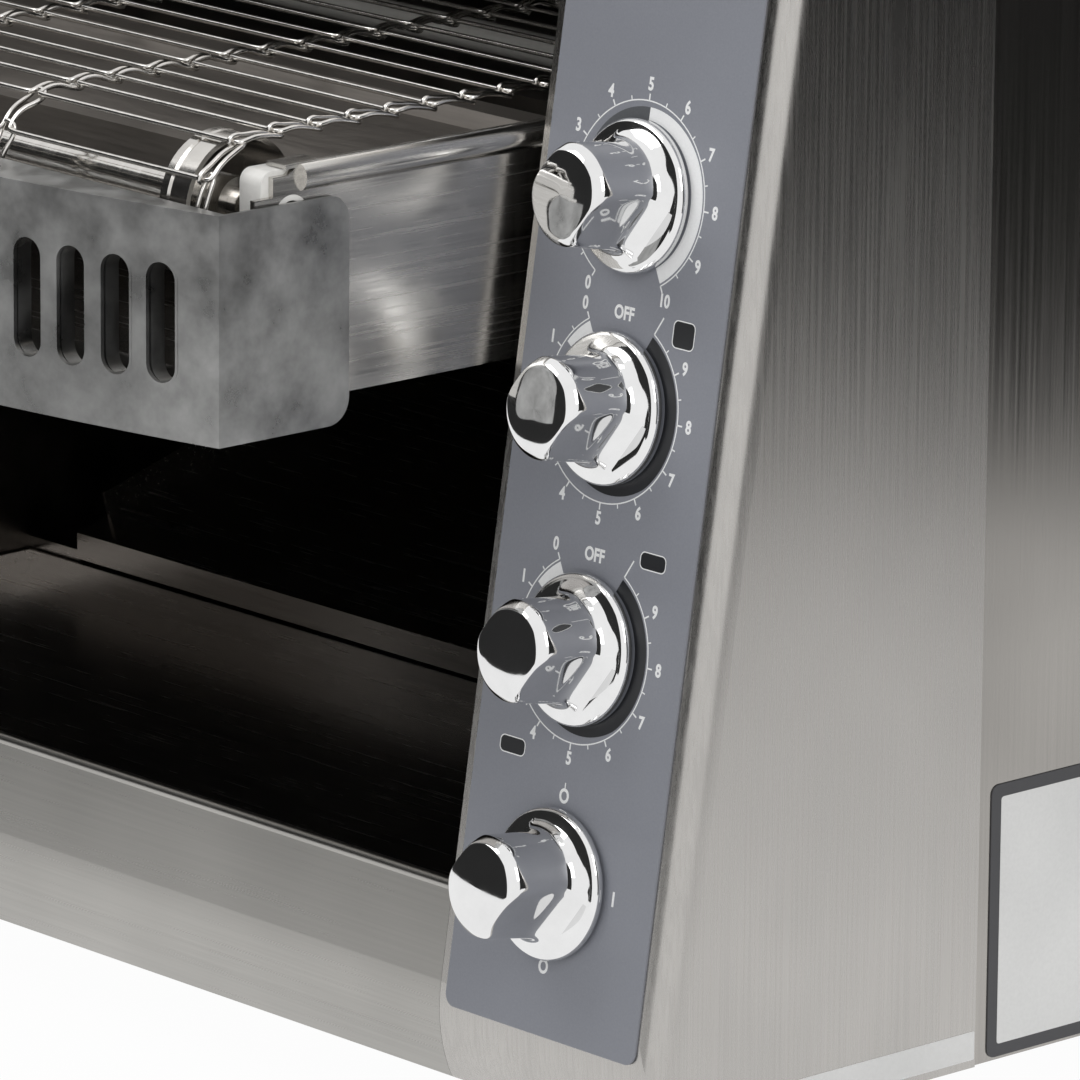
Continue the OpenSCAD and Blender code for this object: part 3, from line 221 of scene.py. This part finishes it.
# Half a link, from the bar to the tip of its hook: distance beside the joint, towards the next strand
# and out of the belt. The arch stands up a little before the hook dips under the next strand.
half_link = np.array([[7, 0, 0], [3.0, 0.2, 0], [1.75, 0.9, 0], [1.6, 4.0, 0.9], [2.0, 8.0, 0.9],
                      [2.9, 12.2, -0.9], [3.1, 14.9, -1.7], [2.6, 16.8, -1.6], [0.9, 17.6, -1.3]])
# Half an edge loop, on the outside of the belt: up the outer leg, round, and back down the inner leg,
# whose end is turned round its own strand
edge_loop = np.array([[-5, 0, 0], [-0.9, 0, 0], [0, 0.9, 0], [0.1, 6.0, 0.7], [0.1, 12.5, -0.6],
                      [-0.1, 15.6, -1.6], [-1.1, 16.9, -1.6], [-2.3, 16.6, -1.6], [-3.1, 14.8, -1.5],
                      [-3.1, 10.0, 0.5], [-3.2, 4.0, 1.0], [-3.3, 0.6, 1.7], [-3.4, -1.3, 0.9],
                      [-3.5, -1.2, -0.9], [-3.6, 0.4, -1.4]])


def strand(a, b, inward):
    """A strand lying at the point a (y, z) whose links reach the next strand at b. Its path is worked out
    flat, as distance across the belt, towards b and out of the belt, and then turned into place."""
    links = []
    for j in (-1, 0, 1):
        left, right = half_link * [-1, 1, 1], half_link[::-1]
        links += [np.concatenate([left, right]) + [BELT_MID + j * JOINT, 0, 0]]
    left_edge = (edge_loop * [-1, 1, 1] + [BELT_X0, 0, 0])[::-1]
    right_edge = edge_loop + [BELT_X1, 0, 0]
    flat = softened(np.concatenate([left_edge, *links, right_edge]))
    step = (b - a) / np.linalg.norm(b - a)
    out = -(inward - step * (inward @ step))
    out /= np.linalg.norm(out)
    spread = np.linalg.norm(b - a) / PITCH
    plane = np.outer(flat[:, 1] * spread, step) + np.outer(flat[:, 2], out) + a
    return wire(np.c_[flat[:, 0], plane], WIRE_R, np.array([0.0, *out]))


def turn(centre, radius, degrees):
    """Point of a wheel, and the direction from it to the wheel's axis."""
    spoke = np.array([math.cos(math.radians(degrees)), math.sin(math.radians(degrees))])
    return centre + radius * spoke, -spoke


def run(first, last, count):
    """The points of a straight run of the belt, one for each strand."""
    return first + (last - first) * np.arange(count)[:, None] / (count - 1)


top = run(np.array([IDLER[0] + PITCH / 2, BELT_Z]), np.array([IDLER[0] + PITCH * 27.5, BELT_Z]), 28)
low = run(np.array([IDLER[0], IDLER[1] - FRONT_R]), np.array([LOW_END, DRIVE[1] - REAR_R]), LOW_SPACES + 1)
down, up = np.array([0.0, -1.0]), np.array([0.0, 1.0])
front = [turn(IDLER, FRONT_R, 110 + 40 * i) for i in range(5)]
rear = [turn(DRIVE, REAR_R, 78.75 - 45 * i) for i in range(5)]
strands = {
    "belt_top_run": [strand(top[i], top[i + 1], down) for i in range(27)],
    "belt_bottom_run": [strand(low[i], low[i - 1], up) for i in range(1, LOW_SPACES + 1)],
    "belt_front_wrap": [strand(p, top[0] if i == 0 else front[i - 1][0], inward)
                        for i, (p, inward) in enumerate(front)],
    "belt_rear_wrap": [strand(top[27], rear[0][0], down)]
    + [strand(p, rear[i + 1][0] if i < 3 else low[LOW_SPACES], inward)
       for i, (p, inward) in enumerate(rear[:4])],
}
for name, wires in strands.items():
    piece(name + "_wires", *joined(wires), belt_steel, slot="stainless_bright", stands_for=[name], angle=80)

# ---------------------------------------------------------------- belt drive
# A gear motor on a bracket inside the control housing turns the rear shaft by roller chain. A small fan
# behind the back panel's round opening cools them.

chain_steel = finish("chain_steel", (0.20, 0.19, 0.18), 0.35, 1.0, (700, 700, 700), 0.2, 0.1, 0.01)
dress(chain_steel, "driven_chain_wheel", "motor_chain_wheel", "drive_chain")
motor_paint = finish("motor_paint", (0.06, 0.065, 0.07), 0.5, 0.0, (700, 700, 700), 0.15, 0.08, 0.02)
dress(motor_paint, "gear_motor")
dress(zinc, "motor_bracket")
black_plastic = finish("black_plastic", (0.018, 0.018, 0.019), 0.45, 0.0, (900, 900, 900), 0.2, 0.08, 0.01)
dress(black_plastic, "fan_housing", "fan_rotor", "cord_gland", "terminal_block")
dress(ground_steel, "fan_guard", "rear_screws")

# ---------------------------------------------------------------- controls
# Moulded control bodies behind the sloped face, and a blue-grey printed overlay in front of them.

phenolic = finish("phenolic", (0.09, 0.045, 0.02), 0.55, 0.0, (500, 500, 500), 0.25, 0.08, 0.02)
dress(phenolic, "speed_control", "top_heat_control", "bottom_heat_control", "power_switch")
overlay_film = finish("overlay_film", (0.255, 0.265, 0.30), 0.42, 0.0, (1500, 1500, 1500), 0.05, 0.06, 0.006,
                      0.04)
dress(overlay_film, "control_overlay")

LEAN = math.radians(8.72)
FACE = np.array([232.5, -188.5 + 211.5 * math.tan(LEAN), 236.5])
FACE_UP = np.array([0, math.sin(LEAN), math.cos(LEAN)])
FACE_OUT = np.array([0, -math.cos(LEAN), math.sin(LEAN)])
DIALS = [63.2, 0.0, -72.3, -143.0]
BODIES = ["speed_dial", "top_heat_dial", "bottom_heat_dial", "power_dial"]
NAMES = ["speed", "top_heat", "bottom_heat", "power"]
FILM = 0.6


def on_face(points, dial=0.0):
    """Panel coordinates (right of the dials, up the face, out of it) as places in the object."""
    points = np.asarray(points, float)
    return (FACE + points[..., :1] * [1, 0, 0] + (points[..., 1:2] + dial) * FACE_UP
            + points[..., 2:3] * FACE_OUT)


def sheet(outline, low, high):
    """Flat sheet of that outline between two heights: two flat faces and a ring of edge faces."""
    n = len(outline)
    points = np.concatenate([np.c_[outline, np.full(n, low)], np.c_[outline, np.full(n, high)]])
    return points, [list(range(n))[::-1], list(range(n, 2 * n))] + quads(2, n).tolist()


def round_corners(width, height, radius, x=0.0, y=0.0, steps=6):
    """Outline of a rectangle with round corners about the point x, y."""
    a = np.linspace(0, np.pi / 2, steps)
    arcs = [np.c_[np.cos(a + q * np.pi / 2), np.sin(a + q * np.pi / 2)] * radius
            + np.array(s) * [width / 2 - radius, height / 2 - radius]
            for q, s in enumerate([(1, 1), (-1, 1), (-1, -1), (1, -1)])]
    return np.concatenate(arcs) + [x, y]


def spoke(clock, inner, outer, width):
    """Outline of a tick that points at the dial's centre, at an angle clockwise from the top."""
    a = math.radians(clock)
    along, side = np.array([math.sin(a), math.cos(a)]), np.array([math.cos(a), -math.sin(a)]) * width / 2
    corners = [along * outer - side, along * outer + side, along * inner + side, along * inner - side]
    return np.array(corners)


def lettering(text, size, x, y):
    """Glyphs of the plain built-in font as a thin solid, centred on x, y."""
    curve = bpy.data.curves.new("glyphs", "FONT")
    curve.body, curve.size, curve.offset, curve.extrude = text, size, 0.035 * size, 0.025
    curve.align_x, curve.align_y, curve.resolution_u = "CENTER", "CENTER", 4
    holder = bpy.data.objects.new("glyphs", curve)
    bpy.context.scene.collection.objects.link(holder)
    bpy.context.view_layer.update()
    mesh = bpy.data.meshes.new_from_object(holder.evaluated_get(bpy.context.evaluated_depsgraph_get()))
    points = np.empty(len(mesh.vertices) * 3)
    mesh.vertices.foreach_get("co", points)
    faces = [list(p.vertices) for p in mesh.polygons]
    bpy.data.objects.remove(holder)
    bpy.data.meshes.remove(mesh)
    return points.reshape(-1, 3) * [0.86, 1, 1] + [x, y, FILM + 0.04], faces


def band(clocks, inner, outer, low, high):
    """Flat ring sector that follows the clock angles. Its inner and outer radii are numbers or lists, one
    for each angle, so the sector can swell along its way like a crescent."""
    a = np.radians(clocks)
    inner, outer = np.broadcast_to(inner, a.shape), np.broadcast_to(outer, a.shape)
    there, back = np.c_[inner * np.sin(a), inner * np.cos(a)], np.c_[outer * np.sin(a), outer * np.cos(a)]
    n = len(a)
    points = np.concatenate([np.c_[there, np.full(n, low)], np.c_[back, np.full(n, low)],
                             np.c_[there, np.full(n, high)], np.c_[back, np.full(n, high)]])
    corner = [0, n, 3 * n, 2 * n]  # inner low, outer low, outer high, inner high
    k = np.arange(n - 1)
    faces = [np.c_[q + k, p + k, p + k + 1, q + k + 1] for p, q in zip(corner, corner[1:] + corner[:1])]
    ends = [[corner[i] for i in (3, 2, 1, 0)], [corner[i] + n - 1 for i in (0, 1, 2, 3)]]
    return points, np.concatenate(faces).tolist() + ends


ink = finish("ink", (0.93, 0.935, 0.94), 0.5, 0.0, (1500, 1500, 1500), 0.03, 0.05, 0.0, 0.02)
dark_ink = finish("dark_ink", (0.012, 0.013, 0.016), 0.4, 0.0, (1500, 1500, 1500), 0.1, 0.05, 0.0, 0.05)
PRINT_LOW, PRINT_HIGH = FILM + 0.01, FILM + 0.06

# Radii on the dials: the thin ring's edges, the shade's edges inside it, and the ticks and numerals outside it
RING_IN, RING_OUT, SHADE_IN, SHADE_OUT = 28.0, 28.4, 22.6, 27.4
TICK_IN, TICK_OUT, HALF_TICK_OUT, NUMERAL_R, NUMERAL_SIZE = 28.2, 30.3, 29.6, 33.0, 5.4

marks, badges, shades = [], [], []


def mark(points_faces, dial, into):
    """Adds a printed form of a dial, in panel coordinates, to one of the lists."""
    points, faces = points_faces
    into.append((on_face(points, dial), faces))


for dial, first, way in ((DIALS[0], 210, 1), (DIALS[1], 330, -1), (DIALS[2], 330, -1)):
    for k in range(11):
        clock = first + way * 30 * k
        if way < 0 and k == 10:
            mark(sheet(spoke(clock, TICK_IN, 34.5, 0.5), PRINT_LOW, PRINT_HIGH), dial, marks)
            continue
        a = math.radians(clock)
        mark(sheet(spoke(clock, TICK_IN, TICK_OUT, 0.5), PRINT_LOW, PRINT_HIGH), dial, marks)
        mark(lettering(str(k), NUMERAL_SIZE, NUMERAL_R * math.sin(a), NUMERAL_R * math.cos(a)), dial, marks)
    for k in range(10):
        half = spoke(first + way * (30 * k + 15), TICK_IN, HALF_TICK_OUT, 0.4)
        mark(sheet(half, PRINT_LOW, PRINT_HIGH), dial, marks)
    if way < 0:
        mark(lettering("OFF", 5.6, 0.4, 28.3), dial, marks)
# Rings: a white crescent from 5 to 10 on the first dial that goes on in grey towards 0, and on the other
# two a short white piece beside 0 and a near-black crescent
sweep = np.arange(0.0, 301.0, 4.0)
mark(band(210 + sweep, RING_IN, RING_OUT, PRINT_LOW, PRINT_HIGH), DIALS[0], marks)
swell = np.interp(sweep[38:], [150, 210, 300], [26.4, SHADE_OUT, SHADE_OUT])
mark(band(210 + sweep[38:], SHADE_IN, swell, PRINT_LOW, PRINT_HIGH), DIALS[0], marks)
swell = np.interp(sweep[:39], [0, 110, 152], [23.0, 25.8, 26.4])
mark(band(210 + sweep[:39], SHADE_IN, swell, PRINT_LOW, PRINT_HIGH), DIALS[0], shades)
for dial in DIALS[1:3]:
    mark(band(330 - sweep, RING_OUT, RING_IN, PRINT_LOW, PRINT_HIGH), dial, marks)
    mark(band(330 - sweep[:7], SHADE_OUT, SHADE_IN, PRINT_LOW, PRINT_HIGH), dial, marks)
    swell = np.interp(sweep[27:], [108, 190, 280, 300], [23.0, SHADE_OUT, SHADE_OUT, 27.2])
    mark(band(330 - sweep[27:], swell, SHADE_IN, PRINT_LOW, PRINT_HIGH), dial, badges)
for text, x, y in (("O", 0, 26.2), ("I", 26.0, 0.6), ("O", 0, -25.4)):
    mark(lettering(text, 6.0, x, y), DIALS[3], marks)
mark(sheet(spoke(0, 28.6, 30.4, 0.4), PRINT_LOW, PRINT_HIGH), DIALS[3], marks)
for dial, x, y, wide, high in ((DIALS[1], 26.4, 26.2, 9.4, 8.4), (DIALS[2], 25.3, 30.9, 11.2, 5.4),
                               (DIALS[2], -24.5, -34.0, 11.2, 5.4)):
    mark(sheet(round_corners(wide, high, 1.9, x, y), PRINT_LOW, PRINT_HIGH), dial, badges)
    outer, inner = round_corners(wide, high, 1.9, x, y), round_corners(wide - 0.7, high - 0.7, 1.6, x, y)
    rim = np.concatenate([np.c_[outer, np.full(len(outer), PRINT_HIGH + 0.02)],
                          np.c_[inner, np.full(len(inner), PRINT_HIGH + 0.02)]])
    mark((rim, quads(2, len(outer))[:, ::-1].tolist()), dial, marks)
piece("overlay_marks", *joined(marks), ink, slot="overlay", angle=30)
piece("overlay_badges", *joined(badges), dark_ink, slot="overlay", angle=30)
grey_ink = finish("grey_ink", (0.10, 0.105, 0.115), 0.45, 0.0, (1500, 1500, 1500), 0.08, 0.05, 0.0, 0.05)
piece("overlay_shades", *joined(shades), grey_ink, slot="overlay", angle=30)

# ---------------------------------------------------------------- knobs
# Chromed mouldings: a flared skirt, a round grip with two flats that run out in a scoop above the skirt,
# and a bevelled, slightly domed end. Each is pushed on a steel spindle with a flat.

chrome = finish("chrome", (0.80, 0.80, 0.80), 0.045, 1.0, (120, 120, 120), 0.03, 0.02, 0.002, 0.03)


def around(profile, angles, reach=None):
    """A profile of (radius, height) turned once about its axis. reach, of the same shape as the angles by
    the profile, may hold the radius in. Fans close the two poles, where the profile meets the axis."""
    radius, height = profile[1:-1, 0], profile[1:-1, 1]
    r = np.broadcast_to(radius[:, None], (len(radius), len(angles))) if reach is None else reach
    ring = np.stack([r * np.cos(angles), r * np.sin(angles),
                     np.broadcast_to(height[:, None], r.shape)], -1).reshape(-1, 3)
    n, last = len(angles), (len(radius) - 1) * len(angles)
    poles = [[0, 0, profile[0, 1]], [0, 0, profile[-1, 1]]]
    faces = quads(len(radius), n).tolist()
    k = np.arange(n)
    fans = np.concatenate([np.c_[np.full(n, len(ring)), (k + 1) % n, k],
                           np.c_[np.full(n, len(ring) + 1), last + k, last + (k + 1) % n]])
    return np.concatenate([ring, poles]), faces + fans.tolist()


FLAT, SKIRT_TOP, KNOB_TURN = 12.0, 15.0, math.radians(-35)
knob_profile = softened(np.array([
    [0, 23.9], [3.05, 23.9], [3.05, 1.4], [21.9, 1.4], [22.9, 1.9], [23, 3.6], [22.3, 4.9], [20.6, 5.5],
    [18.2, 6.6], [16.6, 8.4], [15.95, 11], [15.75, 16], [15.55, 22], [15.5, 27.6], [15.2, 28.6], [13.6, 30.4],
    [12.7, 31.0], [11.4, 31.3], [7, 31.75], [0, 32]]), 3)
knob_angles = np.linspace(0, 2 * np.pi, 216, endpoint=False)


def with_flats(radius, height, angles):
    """The radius held in by two flats: (radius^-28 + (flat / |cos|)^-28)^(-1/28), the angle being counted
    from the flats' own direction. Below the grip the flat runs out along an arc of 12 mm radius."""
    drop = np.clip(SKIRT_TOP - height, 0, 12)
    flat = FLAT + 12 - np.sqrt(144 - drop**2)
    side = flat[:, None] / np.maximum(np.abs(np.cos(angles)), 1e-3)
    held = (radius[:, None] ** -28.0 + side**-28.0) ** (-1 / 28)
    grip = (height[:, None] > 5.6) & (radius[:, None] > 4)
    return np.where(grip, held, radius[:, None])


rise = knob_profile[1:-1]
knob_reach = with_flats(rise[:, 0], rise[:, 1], knob_angles - KNOB_TURN)
spindle_profile = np.array([[0, -13.2], [3, -13.2], [3, 23.7], [0, 23.7]])
for name, body, dial in zip(NAMES, BODIES, DIALS):
    points, faces = around(knob_profile, knob_angles, knob_reach)
    piece(name + "_knob_shell", on_face(points, dial), faces, chrome, body, "chrome_knob", [name + "_knob"], 32)
    points, faces = around(spindle_profile, knob_angles[::9])
    piece(name + "_spindle", on_face(points, dial), faces, ground_steel, body, "stainless_bright", angle=50)

# ---------------------------------------------------------------- toast path
# Polished slide and collection tray under the belt, and the crumb tray with its slotted galvanised guard.

tray_steel = finish("tray_steel", (0.46, 0.44, 0.42), 0.24, 1.0, (20, 600, 600), 0.08, 0.05, 0.003)
dress(tray_steel, "toast_slide", "collection_tray", "crumb_tray")
spangle = finish("spangle", (0.33, 0.33, 0.325), 0.36, 0.95, (60, 60, 60), 0.34, 0.12, 0.006, 0.3)
dress(spangle, "front_guard")

# Each slot's edge is drawn inwards as a short collar behind the bowed front
GUARD_HALF, BOW, GUARD_FRONT = 199.6, 21.5, -287.5
SLOTS, SLOT_PITCH, SLOT_W, SLOT_H, SLOT_Z, COLLAR_T = 22, 17.0, 10.7, 36, 267.0, 1
BOW_R = (GUARD_HALF**2 + BOW**2) / (2 * BOW)
collars = []
for i in range(SLOTS):
    x = (i - (SLOTS - 1) / 2) * SLOT_PITCH
    front_y = GUARD_FRONT + BOW_R - math.sqrt(BOW_R**2 - x * x)
    rims = [round_corners(SLOT_W + 2 * d, SLOT_H + 2 * d, SLOT_W / 2 + d, x + BELT_MID, SLOT_Z, 8)
            for d in (0, 0, COLLAR_T, COLLAR_T)]
    rings = [np.c_[rim[:, 0], np.full(len(rim), front_y + y), rim[:, 1]]
             for rim, y in zip(rims, (1.0, 6.0, 6.0, 1.0))]
    collars.append((np.concatenate(rings), quads(4, len(rims[0]), round_rows=True).tolist()))
piece("guard_collars", *joined(collars), spangle, "crumb_drawer", "galvanised", angle=40)

# ---------------------------------------------------------------- side plate
# A bare white plate with a dark border on the side panel, and a bare white strip ahead of it.

plate_white = finish("plate_white", (0.80, 0.80, 0.79), 0.4, 0.0, (800, 800, 800), 0.03, 0.05)
plate_dark = finish("plate_dark", (0.06, 0.06, 0.065), 0.4, 0.0, (800, 800, 800), 0.05, 0.05)


def on_side(outline, low, high, at):
    """Sheet lying on a plane of the right-hand side at X = at, of an outline in Y and Z."""
    points, faces = sheet(outline, low, high)
    return points[:, [2, 0, 1]] + [at, 0, 0], faces


SIDE_X, PANEL_X = 285.5, 284.2
PLATE_Y, PLATE_Z = 27.5, 69.0
border = round_corners(150.0, 86.0, 3.0, PLATE_Y, PLATE_Z)
piece("plate_border", *on_side(border, 0, 0.4, PANEL_X), plate_dark, slot="overlay")
plate = round_corners(142.0, 78.0, 1.0, PLATE_Y, PLATE_Z)
piece("plate_face", *on_side(plate, 0.4, 0.5, PANEL_X), plate_white, slot="overlay")
piece("side_strip", *on_side(round_corners(74.0, 9.0, 0.5, -91.0, 32.0), 0, 0.12, SIDE_X), plate_white,
      slot="overlay")

# ---------------------------------------------------------------- studio
# Pale floor and white surroundings, two soft boxes, and dark cards that only reflections see.


def seen_rays(tree):
    """Socket that is 1 for camera, glossy and transmission rays, and 0 for the rays that light the object."""
    rays = tree.nodes.new("ShaderNodeLightPath")
    last = rays.outputs["Is Camera Ray"]
    for kind in ("Is Glossy Ray", "Is Transmission Ray"):
        either = tree.nodes.new("ShaderNodeMath")
        either.operation = "MAXIMUM"
        tree.links.new(last, either.inputs[0])
        tree.links.new(rays.outputs[kind], either.inputs[1])
        last = either.outputs[0]
    return last


def studio_white(name, diffuse, share):
    """Diffuse white that camera, glossy and transmission rays see mostly as plain white."""
    material = bpy.data.materials.new(name)
    material.use_nodes = True
    tree = material.node_tree
    tree.nodes.clear()
    seen = seen_rays(tree)
    part = tree.nodes.new("ShaderNodeMath")
    part.operation = "MULTIPLY"
    part.inputs[1].default_value = share
    lit = tree.nodes.new("ShaderNodeBsdfDiffuse")
    lit.inputs["Color"].default_value = (diffuse, diffuse, diffuse, 1)
    plain = tree.nodes.new("ShaderNodeEmission")
    mix = tree.nodes.new("ShaderNodeMixShader")
    out = tree.nodes.new("ShaderNodeOutputMaterial")
    for a, b in ((seen, part.inputs[0]), (part.outputs[0], mix.inputs[0]), (lit.outputs[0], mix.inputs[1]),
                 (plain.outputs[0], mix.inputs[2]), (mix.outputs[0], out.inputs["Surface"])):
        tree.links.new(a, b)
    return material


def flat_square(name, corners, material):
    """Four corners in metres as one face that belongs to the studio."""
    mesh = bpy.data.meshes.new(name)
    mesh.from_pydata(corners, [], [(0, 1, 2, 3)])
    mesh.materials.append(material)
    made = bpy.data.objects.new(name, mesh)
    bpy.context.scene.collection.objects.link(made)
    return made


flat_square("floor", [(-6, -6, 0), (6, -6, 0), (6, 6, 0), (-6, 6, 0)],
            studio_white("floor_white", 0.82, 0.97))

card_black = bpy.data.materials.new("card_black")
card_black.use_nodes = True
card_shader = card_black.node_tree.nodes["Principled BSDF"]
card_shader.inputs["Base Color"].default_value = (0.02, 0.02, 0.02, 1)
card_shader.inputs["Roughness"].default_value = 1.0


def card(name, centre, bearing, width, low, high):
    """Upright dark card facing the object, which only reflections see."""
    side = np.array([math.cos(bearing), math.sin(bearing)]) * width / 2
    a, b = centre - side, centre + side
    made = flat_square(name, [(*a, low), (*b, low), (*b, high), (*a, high)], card_black)
    made.visible_camera = made.visible_diffuse = made.visible_shadow = made.visible_transmission = False


card("card_front_left", np.array([-0.72, -1.02]), math.radians(-42), 2.4, 0.0, 1.15)
card("card_rear_right", np.array([0.92, 0.50]), math.radians(-45), 2.2, 0.0, 1.2)

world = bpy.data.worlds.new("studio")
bpy.context.scene.world = world
world.use_nodes = True
tree = world.node_tree
back = tree.nodes["Background"]
level = tree.nodes.new("ShaderNodeMapRange")
back.inputs["Color"].default_value = (1, 1, 1, 1)
level.inputs["To Min"].default_value = 0.62
level.inputs["To Max"].default_value = 1.0
tree.links.new(seen_rays(tree), level.inputs["Value"])
tree.links.new(level.outputs["Result"], back.inputs["Strength"])


def soft_box(name, place, aim, size, power):
    """Square area lamp in metres that looks at a point."""
    lamp = bpy.data.lights.new(name, "AREA")
    lamp.shape, lamp.size, lamp.energy = "SQUARE", size, power
    made = bpy.data.objects.new(name, lamp)
    bpy.context.scene.collection.objects.link(made)
    z = np.array(place, float) - aim
    z /= np.linalg.norm(z)
    x = np.cross([0, 0, 1.0], z)
    x /= np.linalg.norm(x)
    made.matrix_world = Matrix(np.r_[np.c_[x, np.cross(z, x), z, place], [[0, 0, 0, 1]]])


soft_box("key_box", (-0.9, -1.3, 1.9), (0, 0, 0.2), 1.3, 14)
soft_box("side_box", (1.9, -0.6, 1.4), (0, 0, 0.2), 1.0, 8)

# The camera stands where the photograph was taken from, with its long lens and slight roll.
AZIMUTH, ELEVATION, ROLL = math.radians(47.738), math.radians(14.434), math.radians(0.4366)
lens = bpy.data.cameras.new("camera")
lens.lens, lens.sensor_width = 310.37, 36
lens.clip_start, lens.clip_end = 0.1, 50
camera = bpy.data.objects.new("camera", lens)
bpy.context.scene.collection.objects.link(camera)
away = np.array([math.sin(AZIMUTH) * math.cos(ELEVATION), -math.cos(AZIMUTH) * math.cos(ELEVATION),
                 math.sin(ELEVATION)])
level_x = np.array([math.cos(AZIMUTH), math.sin(AZIMUTH), 0])
level_y = np.cross(away, level_x)
cam_x = level_x * math.cos(ROLL) + level_y * math.sin(ROLL)
cam_y = -level_x * math.sin(ROLL) + level_y * math.cos(ROLL)
stand = np.array([2.18683, -1.96069, 0.88098])
camera.matrix_world = Matrix(np.r_[np.c_[cam_x, cam_y, away, stand], [[0, 0, 0, 1]]])
bpy.context.scene.camera = camera
bpy.context.scene.view_settings.view_transform = "Standard"
